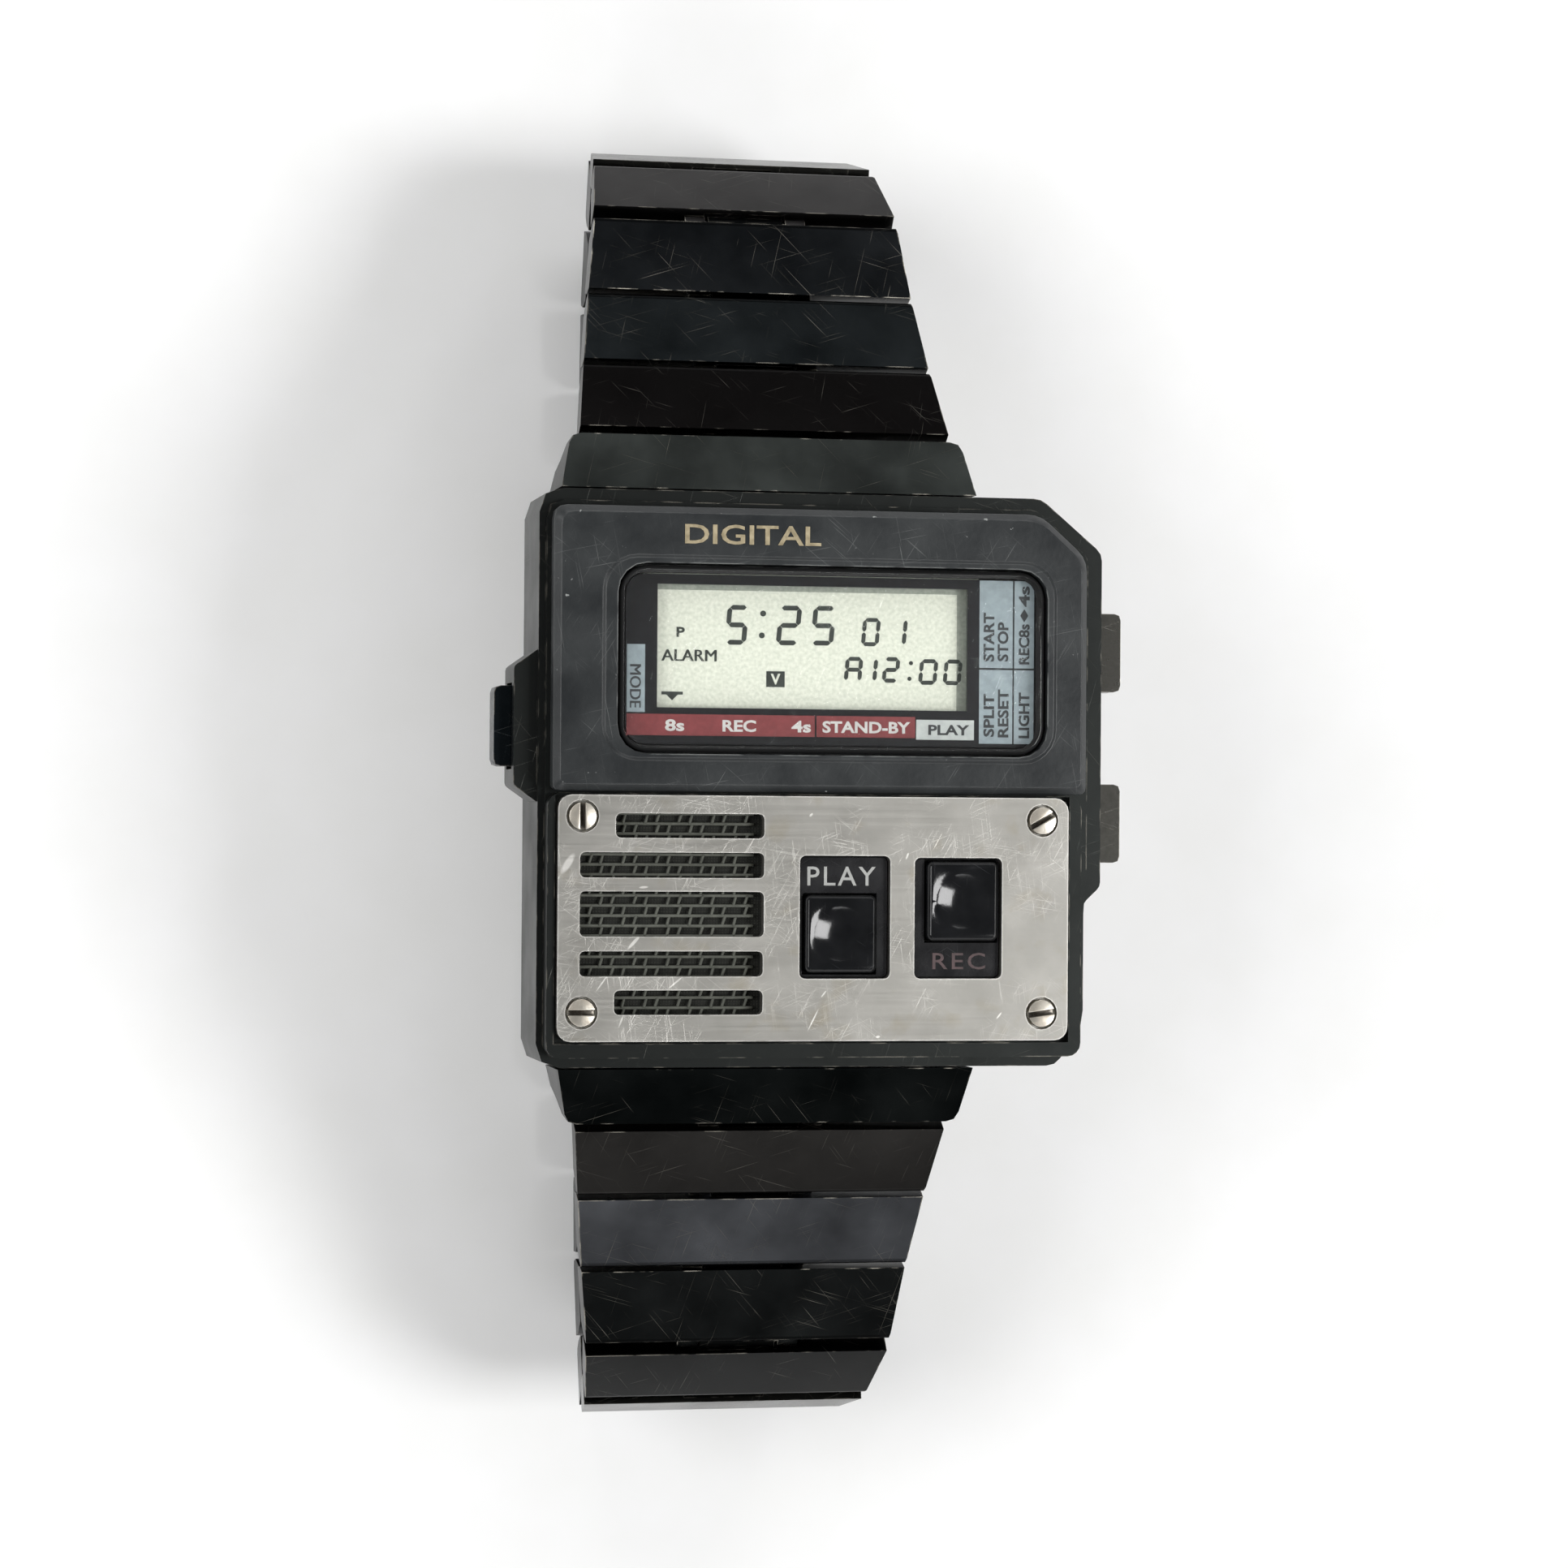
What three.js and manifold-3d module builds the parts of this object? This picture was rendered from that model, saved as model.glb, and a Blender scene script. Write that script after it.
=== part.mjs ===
// A digital voice-recorder wristwatch on a steel bracelet, lying face up on its closed clasp.
// Millimetres. +Z is up, +X points to the two right-hand pushers, +Y to the twelve o'clock end.
// The origin is the centre of the clasp's flat outer face.

import * as THREE from 'three';
import { mergeVertices } from 'three/addons/utils/BufferGeometryUtils.js';
import Module from 'manifold-3d';

// ---------------------------------------------------------------- driving dimensions

const LINK_PITCH = 5.85;
const LINK_OUTER = 1.2; // from a pin's axis to the link's outer face
const LINK_INNER = 1.0; // from a pin's axis to the link's inner face
const LINK_SLOPES = [33, 27, 19, 49, 76, 128, 164, 176, 182]; // degrees below level, case to clasp
const HOOD_SLOPE = 22;
const FIRST_PIN_Y = 22.5;
const CLASP_PIN_Z = 1.5;
const BAND_WIDTH_AT_CASE = 25.1;
const BAND_TAPER = 0.23; // width lost per millimetre along the band
const BAND_WIDTH_LEAST = 17.4;
const KNUCKLE_R = 0.7;
const PIN_R = 0.4;
const PIN_HOLE_R = 0.5;
const TONGUE_HALF = 2.6;
const LUG_INNER = 2.8;
const LUG_OUTER = 4.2;
const FIRST_PIN_DEPTH = 5.4; // below the top of the bezel

const CASE_LEFT = -15.5;
const CASE_RIGHT = 22.65;
const CASE_TOP = 19.0;
const CASE_BOTTOM = -19.0;
const CASE_BOTTOM_DEPTH = 9.6;
const RIM_DEPTH = 2.3;
const DECK_DEPTH = 1.95;
const DECK_BOTTOM_DEPTH = 3.1;
const BACK_DEPTH = 10.5;
const GUARD_X = -17.05;

const PUSHER_HEIGHT_DEPTH = 5.0;
const PUSHER_SIZE_Y = 5.3;
const PUSHER_SIZE_Z = 2.2;
const SPRING_SIDES = 4;
const SPRING_STEPS_PER_TURN = 8;

const rad = THREE.MathUtils.degToRad;
const dropOfChain = LINK_SLOPES.reduce((sum, s) => sum + LINK_PITCH * Math.sin(rad(s)), 0);
const FIRST_PIN_Z = CLASP_PIN_Z + dropOfChain;
const FACE_Z = FIRST_PIN_Z + FIRST_PIN_DEPTH;
const at = (depth) => FACE_Z - depth; // the height of a level this far below the bezel's top

// ---------------------------------------------------------------- materials

function finish(color, metalness, roughness) {
  return new THREE.MeshStandardMaterial({ color, metalness, roughness });
}

const blackSteel = finish(0x1c1e20, 0.8, 0.4);
const wornSteel = finish(0x77746c, 0.9, 0.4);
const brushedSteel = finish(0xb2b0aa, 1.0, 0.32);
const paintedMetal = finish(0x2b3035, 0.5, 0.4);
const crystalGlass = finish(0xdde4e4, 0.0, 0.05);
const blackRubber = finish(0x151515, 0.0, 0.8);
const blackPlastic = finish(0x18191b, 0.0, 0.35);
const displayGlass = finish(0xdfe2d3, 0.0, 0.3);
const boardGreen = finish(0x2c5a3a, 0.1, 0.5);
const springSteel = finish(0x9c9a94, 1.0, 0.3);
const nickelPlate = finish(0xc9c6bd, 1.0, 0.25);

// ---------------------------------------------------------------- solids and how they are cut

const wasm = await Module();
wasm.setup();

function toSolid(geometry) {
  geometry.deleteAttribute('normal');
  geometry.deleteAttribute('uv');
  const merged = mergeVertices(geometry);
  return new wasm.Manifold(new wasm.Mesh({
    numProp: 3,
    vertProperties: Float32Array.from(merged.attributes.position.array),
    triVerts: Uint32Array.from(merged.index.array),
  }));
}

function toGeometry(solid) {
  const mesh = solid.getMesh();
  const geometry = new THREE.BufferGeometry();
  geometry.setAttribute('position', new THREE.BufferAttribute(mesh.vertProperties, 3));
  geometry.setIndex(new THREE.BufferAttribute(mesh.triVerts, 1));
  geometry.computeVertexNormals();
  return geometry;
}

function block(x0, x1, y0, y1, z0, z1) {
  const box = new THREE.BoxGeometry(x1 - x0, y1 - y0, z1 - z0);
  return toSolid(box.translate((x0 + x1) / 2, (y0 + y1) / 2, (z0 + z1) / 2));
}

// A flat outline in X and Y, given depth along Z.
function plate(outline, z0, z1, curveSegments = 2) {
  const options = { depth: z1 - z0, bevelEnabled: false, curveSegments };
  return toSolid(new THREE.ExtrudeGeometry(outline, options).translate(0, 0, z0));
}

// The same, with its upper edge bevelled. The outline is a function of how far it is drawn in.
function bevelledPlate(outlineAt, z0, z1, bevel) {
  const rings = [[0, z0], [0, z1 - bevel], [bevel, z1]].map(([inset, z]) => (
    outlineAt(inset).extractPoints(3).shape.map((p) => new THREE.Vector3(p.x, p.y, z))));
  const count = rings[0].length;
  const cap = THREE.ShapeUtils.triangulateShape(rings[0], []);
  const index = cap.flatMap(([a, b, c]) => [c, b, a]);
  index.push(...cap.flat().map((i) => i + 2 * count));
  for (let ring = 0; ring < 2; ring += 1) {
    for (let i = 0; i < count; i += 1) {
      const a = ring * count + i;
      const b = ring * count + ((i + 1) % count);
      index.push(a, b, b + count, a, b + count, a + count);
    }
  }
  const geometry = new THREE.BufferGeometry().setFromPoints(rings.flat());
  return toSolid(geometry.setIndex(index));
}

// A side outline in Y and Z, given width along X.
function sideProfile(points, x0, x1) {
  const outline = new THREE.Shape(points.map(([y, z]) => new THREE.Vector2(y, z)));
  const options = { depth: x1 - x0, bevelEnabled: false };
  const geometry = new THREE.ExtrudeGeometry(outline, options);
  geometry.rotateY(Math.PI / 2).rotateX(Math.PI / 2); // shape x to Y, shape y to Z, depth to X
  return toSolid(geometry.translate(x0, 0, 0));
}

function rodAlongX(x0, x1, y, z, radius, sides = 10) {
  const rod = new THREE.CylinderGeometry(radius, radius, x1 - x0, sides);
  return toSolid(rod.rotateZ(Math.PI / 2).translate((x0 + x1) / 2, y, z));
}

function rodAlongZ(x, y, z0, z1, radius, sides = 10) {
  const rod = new THREE.CylinderGeometry(radius, radius, z1 - z0, sides);
  return toSolid(rod.rotateX(Math.PI / 2).translate(x, y, (z0 + z1) / 2));
}

function roundedRect(x0, x1, y0, y1, r) {
  const outline = new THREE.Shape();
  outline.absarc(x1 - r, y0 + r, r, -Math.PI / 2, 0);
  outline.absarc(x1 - r, y1 - r, r, 0, Math.PI / 2);
  outline.absarc(x0 + r, y1 - r, r, Math.PI / 2, Math.PI);
  outline.absarc(x0 + r, y0 + r, r, Math.PI, 1.5 * Math.PI);
  return outline;
}

// A polygon whose corners are rounded off: each corner is [x, y, how far back the rounding starts].
function softPolygon(corners) {
  const outline = new THREE.Shape();
  corners.forEach(([x, y, setback], i) => {
    const corner = new THREE.Vector2(x, y);
    const before = new THREE.Vector2(...corners.at(i - 1).slice(0, 2)).sub(corner).normalize();
    const after = new THREE.Vector2(...corners[(i + 1) % corners.length].slice(0, 2)).sub(corner).normalize();
    const start = corner.clone().addScaledVector(before, setback);
    const end = corner.clone().addScaledVector(after, setback);
    if (i === 0) outline.moveTo(start.x, start.y);
    else outline.lineTo(start.x, start.y);
    outline.quadraticCurveTo(x, y, end.x, end.y);
  });
  return outline;
}

// A convex polygon, counter-clockwise, moved outward by a distance.
function grow(corners, distance) {
  const edges = corners.map(([x, y], i) => {
    const [nextX, nextY] = corners[(i + 1) % corners.length];
    const normal = new THREE.Vector2(nextY - y, x - nextX).normalize();
    return { normal, reach: normal.x * x + normal.y * y + distance };
  });
  return corners.map(([, , setback], i) => {
    const a = edges.at(i - 1);
    const b = edges[i];
    const det = a.normal.x * b.normal.y - a.normal.y * b.normal.x;
    return [
      (a.reach * b.normal.y - b.reach * a.normal.y) / det,
      (b.reach * a.normal.x - a.reach * b.normal.x) / det,
      setback,
    ];
  });
}

// ---------------------------------------------------------------- the scene graph

const watch = new THREE.Group();

function addPiece(name, solid, material, parent = watch) {
  const mesh = new THREE.Mesh(toGeometry(solid), material);
  mesh.name = name;
  parent.add(mesh);
  return mesh;
}

// ---------------------------------------------------------------- case

const CASE_OUTLINE = [
  [CASE_LEFT, CASE_BOTTOM, 1.6],
  [19.6, CASE_BOTTOM, 0.6],
  [21.5, -16.3, 1.0],
  [21.5, -8.1, 0.3],
  [CASE_RIGHT, -7.0, 0.3],
  [CASE_RIGHT, 15.4, 0.5],
  [18.4, CASE_TOP, 0.5],
  [CASE_LEFT, CASE_TOP, 1.6],
];
const DECK_OUTLINE = [
  [-15.05, -18.3, 1.2],
  [18.9, -18.3, 0.4],
  [20.9, -16.2, 0.4],
  [21.6, -5.9, 0.3],
  [21.6, 15.1, 0.4],
  [18.0, 18.2, 0.4],
  [-15.05, 18.2, 1.2],
];
const CAVITY = [
  [-10.4, -17.2, 0.3],
  [15.2, -17.2, 0.3],
  [19.7, -12.7, 0.3],
  [19.7, 12.4, 0.3],
  [15.2, 16.9, 0.3],
  [-10.4, 16.9, 0.3],
  [-13.6, 13.7, 0.3],
  [-13.6, -14.0, 0.3],
];
const CAVITY_LEFT = -13.6;
const CAVITY_RIGHT = 19.7;

const PUSHERS = [
  { name: 'mode', side: -1, y: 3.4, outer: -18.2, floor: -15.5, wall: CAVITY_LEFT, material: blackSteel },
  { name: 'start', side: 1, y: 8.8, outer: 24.45, floor: 21.0, wall: CAVITY_RIGHT, material: wornSteel },
  { name: 'reset', side: 1, y: -2.75, outer: 24.45, floor: 21.0, wall: CAVITY_RIGHT, material: wornSteel },
];

const PLATE = { x0: -14.4, x1: 19.9, y0: -17.2, y1: -1.1, top: 0.35, bottom: 1.2 };
const PLATE_SCREWS = [
  { x: -12.8, y: -2.5, turn: 90 },
  { x: 18.1, y: -2.6, turn: 30 },
  { x: -12.8, y: -15.3, turn: 0 },
  { x: 18.1, y: -15.4, turn: 8 },
];
const BACK_SCREWS = [[-14.0, -17.3], [19.0, -16.9], [-14.0, 17.0], [19.4, 15.9]];
const SPEAKER_BED = [[-13.4, -0.4, -14.0, -3.9], [-11.2, -0.4, -16.0, -1.8]];
const SPEAKER_SLOTS = [
  [-10.6, -0.75, -3.9, -2.3],
  [-12.95, -0.75, -6.5, -4.85],
  [-12.95, -0.75, -10.35, -7.4],
  [-12.95, -0.8, -12.95, -11.3],
  [-10.65, -0.8, -15.45, -13.85],
];
const TOP_BUTTONS = [
  {
    name: 'play',
    well: [1.65, 7.75, -13.1, -5.0],
    cap: [2.05, 6.8, -12.7, -7.6],
  },
  {
    name: 'record',
    well: [9.4, 15.35, -13.1, -5.1],
    cap: [10.3, 15.05, -10.6, -5.35],
  },
];
const HOUSING = [1.0, 16.0, -13.8, -4.4];

function caseMiddle() {
  const guard = softPolygon([
    [CASE_LEFT + 1, 9.4, 0.1],
    [CASE_LEFT, 8.4, 0.1],
    [GUARD_X, 7.3, 0.2],
    [GUARD_X, -0.5, 0.2],
    [CASE_LEFT, -1.6, 0.1],
    [CASE_LEFT + 1, -2.6, 0.1],
  ]);
  const surround = roundedRect(-15.05, 20.9, -18.3, -1.0, 0.9);
  let body = plate(softPolygon(CASE_OUTLINE), at(CASE_BOTTOM_DEPTH), at(RIM_DEPTH))
    .add(plate(softPolygon(DECK_OUTLINE), at(RIM_DEPTH + 0.3), at(DECK_DEPTH)))
    .add(plate(surround, at(RIM_DEPTH + 0.3), at(0.7)))
    .add(plate(guard, at(7.2), at(2.7)));
  const cavity = plate(softPolygon(CAVITY), at(CASE_BOTTOM_DEPTH + 1), at(DECK_BOTTOM_DEPTH));
  const platePocket = block(-14.55, 20.05, -17.35, -0.9, at(PLATE.bottom + 0.1), FACE_Z);
  const window = plate(roundedRect(-11.5, 19.2, 1.2, 14.6, 1.0), at(4), FACE_Z);
  const housingHole = block(0.8, 16.2, -14.0, -4.2, at(4), FACE_Z);
  body = body.subtract(cavity).subtract(platePocket).subtract(window).subtract(housingHole);
  for (const [x0, x1, y0, y1] of SPEAKER_BED) {
    body = body.subtract(block(x0, x1, y0, y1, at(4), FACE_Z));
  }
  for (const screw of PLATE_SCREWS) {
    body = body.subtract(rodAlongZ(screw.x, screw.y, at(4), FACE_Z, 0.75, 8));
  }
  for (const [x, y] of BACK_SCREWS) {
    body = body.subtract(rodAlongZ(x, y, at(CASE_BOTTOM_DEPTH + 1), at(7.6), 0.65, 8));
  }
  const groove = plate(softPolygon(grow(CAVITY, 0.95)), at(CASE_BOTTOM_DEPTH + 1), at(9.0))
    .subtract(plate(softPolygon(grow(CAVITY, 0.3)), at(CASE_BOTTOM_DEPTH + 2), at(8.5)));
  body = body.subtract(groove);
  for (const p of PUSHERS) body = body.subtract(pusherPassage(p));
  return body;
}

// The recess in the case's side that a pusher's cap sinks into, and the hole its stem runs in.
function pusherPassage({ side, y, outer, floor, wall }) {
  const x = [floor, outer].sort((a, b) => a - b);
  const hole = [floor + side, wall - side].sort((a, b) => a - b);
  const middle = at(PUSHER_HEIGHT_DEPTH);
  const halfY = PUSHER_SIZE_Y / 2 + 0.2;
  const halfZ = PUSHER_SIZE_Z / 2 + 0.2;
  return block(x[0], x[1], y - halfY, y + halfY, middle - halfZ, middle + halfZ)
    .add(rodAlongX(hole[0], hole[1], y, middle, 0.75));
}

function caseBack() {
  const outline = softPolygon([
    [-15.3, -18.5, 1.2],
    [19.0, -18.5, 0.5],
    [20.7, -16.3, 0.5],
    [20.7, 14.8, 0.5],
    [17.6, 18.3, 0.5],
    [-15.3, 18.3, 1.2],
  ]);
  let back = plate(outline, at(BACK_DEPTH), at(9.75));
  for (const [x, y] of BACK_SCREWS) {
    back = back
      .subtract(rodAlongZ(x, y, at(BACK_DEPTH + 1), at(9.95), 1.1, 12))
      .subtract(rodAlongZ(x, y, at(BACK_DEPTH + 1), at(9), 0.65, 8));
  }
  return back;
}

function caseBackGasket() {
  return plate(softPolygon(grow(CAVITY, 0.87)), at(9.62), at(9.1))
    .subtract(plate(softPolygon(grow(CAVITY, 0.38)), at(10), at(9)));
}

// A slotted screw, its head upward, standing on the given level.
function slottedScrew(headR, headHeight, shankR, shankLength, headSides) {
  return rodAlongZ(0, 0, 0, headHeight, headR, headSides)
    .add(rodAlongZ(0, 0, -shankLength, 0.1, shankR, 6))
    .subtract(block(-headR - 1, headR + 1, -0.18, 0.18, headHeight * 0.35, headHeight + 1));
}

addPiece('case_middle', caseMiddle(), blackSteel);
addPiece('case_back', caseBack(), brushedSteel);
addPiece('case_back_gasket', caseBackGasket(), blackRubber);
BACK_SCREWS.forEach(([x, y], i) => {
  const screw = addPiece(`case_back_screw_${i + 1}`, slottedScrew(0.95, 0.4, 0.5, 2.0, 10), nickelPlate);
  screw.rotation.set(Math.PI, 0, rad(35 * i));
  screw.position.set(x, y, at(10.0));
});

// ---------------------------------------------------------------- bezel, crystal and display

const GLASS = [-10.45, 18.15, 1.75, 13.9];

function inflated([x0, x1, y0, y1], d, radius) {
  return roundedRect(x0 - d, x1 + d, y0 - d, y1 + d, radius);
}

function bezel() {
  const corners = [
    [-14.75, -0.85, 0.5],
    [21.15, -0.85, 0.5],
    [21.15, 14.9, 0.9],
    [17.9, 17.8, 0.9],
    [-14.75, 17.8, 0.9],
  ];
  const bead = (d) => roundedRect(-11.6 + d, 18.95 - d, 1.15 + d, 14.6 - d, 2.3 - d);
  return bevelledPlate((d) => softPolygon(grow(corners, -d)), at(1.85), at(0.2), 0.45)
    .add(bevelledPlate(bead, at(0.6), at(0), 0.2))
    .subtract(plate(inflated(GLASS, 0.15, 1.9), at(1.65), at(-1)))
    .subtract(plate(inflated(GLASS, -0.35, 1.4), at(3), at(1)));
}

function crystal() {
  return bevelledPlate((d) => inflated(GLASS, -d, 1.75 - d), at(1.25), at(0.15), 0.25);
}

function crystalGasket() {
  return plate(inflated(GLASS, 0, 1.75), at(1.6), at(1.3))
    .subtract(plate(inflated(GLASS, -0.4, 1.35), at(2), at(1)));
}

function displayMask() {
  return plate(inflated(GLASS, -0.5, 1.25), at(1.62), at(1.37))
    .subtract(block(-7.85, 13.05, 4.65, 12.75, at(2), at(1)));
}

function moduleFrame() {
  return block(-12.2, 18.4, 0.6, 16.0, at(5.9), at(3.2))
    .subtract(block(-9.0, 14.3, 3.5, 13.9, at(3.8), at(3)))
    .subtract(block(-7.7, 13.0, 4.0, 5.6, at(7), at(3)))
    .subtract(block(-14.0, -10.6, 14.0, 17.0, at(7), at(3)))
    .subtract(block(15.4, 19.0, 12.4, 17.0, at(7), at(3)));
}

function circuitBoard() {
  const quartzCan = rodAlongX(5, 11, -1.4, at(5.2), 0.9, 10);
  return block(-12.4, 18.6, -12.4, 12.2, at(6.6), at(6.0))
    .add(block(-10.2, 15.0, -15.8, 15.8, at(6.6), at(6.0)))
    .add(quartzCan);
}

function batteryHolder() {
  return block(-12.0, 18.2, -12.2, 12.0, at(9.4), at(6.8))
    .subtract(rodAlongZ(-4.9, 4.5, at(10), at(6), 6.0, 24))
    .subtract(rodAlongZ(9.9, 4.5, at(10), at(6), 6.0, 24));
}

function coinCell(x) {
  return rodAlongZ(x, 4.5, at(9.35), at(7.4), 5.8, 24)
    .add(rodAlongZ(x, 4.5, at(7.5), at(6.85), 4.9, 24));
}

addPiece('bezel', bezel(), paintedMetal);
addPiece('crystal', crystal(), crystalGlass);
addPiece('crystal_gasket', crystalGasket(), blackRubber);
addPiece('display_mask', displayMask(), blackPlastic);
addPiece('lcd_panel', block(-8.7, 14.0, 3.8, 13.5, at(3.7), at(2.15)), displayGlass);
addPiece('connector_strip', block(-7.5, 12.8, 4.2, 5.4, at(5.92), at(3.82)), blackRubber);
addPiece('module_frame', moduleFrame(), blackPlastic);
addPiece('circuit_board', circuitBoard(), boardGreen);
addPiece('voice_chip', block(4.5, 13.5, -15.4, -10.9, at(5.9), at(5.1)), blackPlastic);
addPiece('battery_holder', batteryHolder(), blackPlastic);
addPiece('battery_left', coinCell(-4.9), nickelPlate);
addPiece('battery_right', coinCell(9.9), nickelPlate);

// ---------------------------------------------------------------- speaker and its plate

const MESH_GAP = 0.15;

function speakerPlate() {
  const { x0, x1, y0, y1, top, bottom } = PLATE;
  let body = plate(roundedRect(x0, x1, y0, y1, 0.9), at(bottom), at(top));
  for (const [a, b, c, d] of SPEAKER_SLOTS) {
    body = body.subtract(plate(roundedRect(a, b, c, d, 0.35), at(2), at(0)));
  }
  for (const { well: [a, b, c, d] } of TOP_BUTTONS) {
    body = body.subtract(plate(roundedRect(a, b, c, d, 0.4), at(2), at(0)));
  }
  for (const { x, y } of PLATE_SCREWS) {
    body = body
      .subtract(rodAlongZ(x, y, at(2), at(0), 0.75, 8))
      .subtract(rodAlongZ(x, y, at(0.95), at(0), 1.08, 20));
  }
  return body;
}

function speakerMesh() {
  const panels = SPEAKER_BED.map(([x0, x1, y0, y1]) => block(
    x0 + MESH_GAP, x1 - MESH_GAP, y0 + MESH_GAP, y1 - MESH_GAP, at(1.75), at(1.3)));
  return panels[0].add(panels[1]);
}

function speakerUnit() {
  const profile = [
    [0, 2.15], [6.2, 2.15], [6.2, 0], [5.4, 0], [5.2, 0.35], [2.0, 1.1], [1.4, 0.7], [0, 0.6],
  ];
  const points = profile.map(([r, depth]) => new THREE.Vector2(r, -depth));
  const lathe = new THREE.LatheGeometry(points, 24).rotateX(Math.PI / 2);
  return toSolid(lathe.translate(-6.9, -8.9, at(3.25)));
}

addPiece('speaker_plate', speakerPlate(), brushedSteel);
addPiece('speaker_mesh', speakerMesh(), springSteel);
addPiece('speaker_unit', speakerUnit(), blackPlastic);
PLATE_SCREWS.forEach(({ x, y, turn }, i) => {
  const screw = addPiece(`plate_screw_${i + 1}`, slottedScrew(0.9, 0.7, 0.5, 1.9, 20), nickelPlate);
  screw.position.set(x, y, at(0.9));
  screw.rotation.z = rad(turn);
});

// ---------------------------------------------------------------- play and record buttons

const CAP_TOP = 0.2;
const CAP_BOTTOM = 2.3;
const FLOOR_TOP = 3.4;
const FLOOR_BOTTOM = 4.0;
const DIMPLE_R = 5.2;
const DIMPLE_DEPTH = 0.45;

function buttonHousing() {
  const [x0, x1, y0, y1] = HOUSING;
  let body = block(x0, x1, y0, y1, at(FLOOR_BOTTOM), at(1.3));
  for (const { well: [a, b, c, d], cap: [e, f, g, h] } of TOP_BUTTONS) {
    const middle = [(e + f) / 2, (g + h) / 2];
    body = body
      .add(plate(roundedRect(a + 0.12, b - 0.12, c + 0.12, d - 0.12, 0.3), at(1.5), at(0.85)))
      .subtract(block(e - 0.13, f + 0.13, g - 0.13, h + 0.13, at(FLOOR_TOP), at(0)))
      .subtract(rodAlongZ(...middle, at(5), at(3), 0.85));
  }
  return body;
}

function topButton([x0, x1, y0, y1]) {
  const [x, y] = [(x0 + x1) / 2, (y0 + y1) / 2];
  const ball = new THREE.SphereGeometry(DIMPLE_R, 28, 18).rotateX(Math.PI / 2);
  const dimple = toSolid(ball.translate(x, y, at(CAP_TOP + DIMPLE_DEPTH) + DIMPLE_R));
  const outline = (d) => roundedRect(x0 + d, x1 - d, y0 + d, y1 - d, 0.4 - d);
  return bevelledPlate(outline, at(CAP_BOTTOM), at(CAP_TOP), 0.2)
    .subtract(dimple)
    .add(rodAlongZ(x, y, at(4.45), at(CAP_BOTTOM - 0.1), 0.65))
    .add(rodAlongZ(x, y, at(4.45), at(4.05), 1.2));
}

// A coil of wire round the Z axis from height z0 to z1, seen as its centre line's limits.
class Helix extends THREE.Curve {
  constructor(radius, z0, z1, turns) {
    super();
    Object.assign(this, { radius, z0, z1, turns });
  }

  getPoint(t, target = new THREE.Vector3()) {
    const angle = 2 * Math.PI * this.turns * t;
    const z = THREE.MathUtils.lerp(this.z0, this.z1, t);
    return target.set(this.radius * Math.cos(angle), this.radius * Math.sin(angle), z);
  }
}

function coilSpring(radius, wireR, height, turns) {
  const path = new Helix(radius, wireR * 1.3, height - wireR * 1.3, turns);
  const wire = new THREE.Shape();
  for (let i = 0; i < SPRING_SIDES; i += 1) {
    const angle = (2 * Math.PI * i) / SPRING_SIDES;
    const point = [wireR * Math.cos(angle), wireR * Math.sin(angle)];
    if (i === 0) wire.moveTo(...point);
    else wire.lineTo(...point);
  }
  const steps = Math.round(SPRING_STEPS_PER_TURN * turns);
  return toSolid(new THREE.ExtrudeGeometry(wire, { steps, extrudePath: path, bevelEnabled: false }));
}

addPiece('button_housing', buttonHousing(), blackPlastic);
for (const { name, cap } of TOP_BUTTONS) {
  addPiece(`${name}_button`, topButton(cap), blackPlastic);
  const spring = addPiece(`${name}_spring`, coilSpring(1.25, 0.15, 1.0, 2), springSteel);
  spring.position.set((cap[0] + cap[1]) / 2, (cap[2] + cap[3]) / 2, at(FLOOR_TOP - 0.05));
}

// ---------------------------------------------------------------- side pushers

const SPRING_ROOM = 0.85;

function sidePusher({ side, y, outer, floor, wall }) {
  const inner = floor + side * SPRING_ROOM;
  const stem = [inner + side * 0.1, wall - side * 0.45].sort((a, b) => a - b);
  const clip = [wall - side * 0.05, wall - side * 0.45].sort((a, b) => a - b);
  const middle = at(PUSHER_HEIGHT_DEPTH);
  const halfY = PUSHER_SIZE_Y / 2;
  const halfZ = PUSHER_SIZE_Z / 2;
  const cap = softPolygon([
    [inner, y - side * halfY, 0.1],
    [outer, y - side * halfY, 0.45],
    [outer, y + side * halfY, 0.45],
    [inner, y + side * halfY, 0.1],
  ]);
  return plate(cap, middle - halfZ, middle + halfZ)
    .add(rodAlongX(stem[0], stem[1], y, middle, 0.6))
    .add(rodAlongX(clip[0], clip[1], y, middle, 1.0));
}

for (const pusher of PUSHERS) {
  addPiece(`${pusher.name}_button`, sidePusher(pusher), pusher.material);
  const height = SPRING_ROOM - 0.1;
  const spring = addPiece(`${pusher.name}_spring`, coilSpring(0.95, 0.12, height, 1.5), springSteel);
  spring.rotation.y = (pusher.side * Math.PI) / 2;
  spring.position.set(pusher.floor + pusher.side * 0.05, pusher.y, at(PUSHER_HEIGHT_DEPTH));
}

// ---------------------------------------------------------------- bracelet
// A half of the bracelet is built for the twelve o'clock end, where it runs out along +Y and curls
// under. A link's own frame has its first pin at the origin, Y along the link and Z outward.

function bandWidth(distance) {
  return Math.max(BAND_WIDTH_LEAST, BAND_WIDTH_AT_CASE - BAND_TAPER * distance);
}

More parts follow.
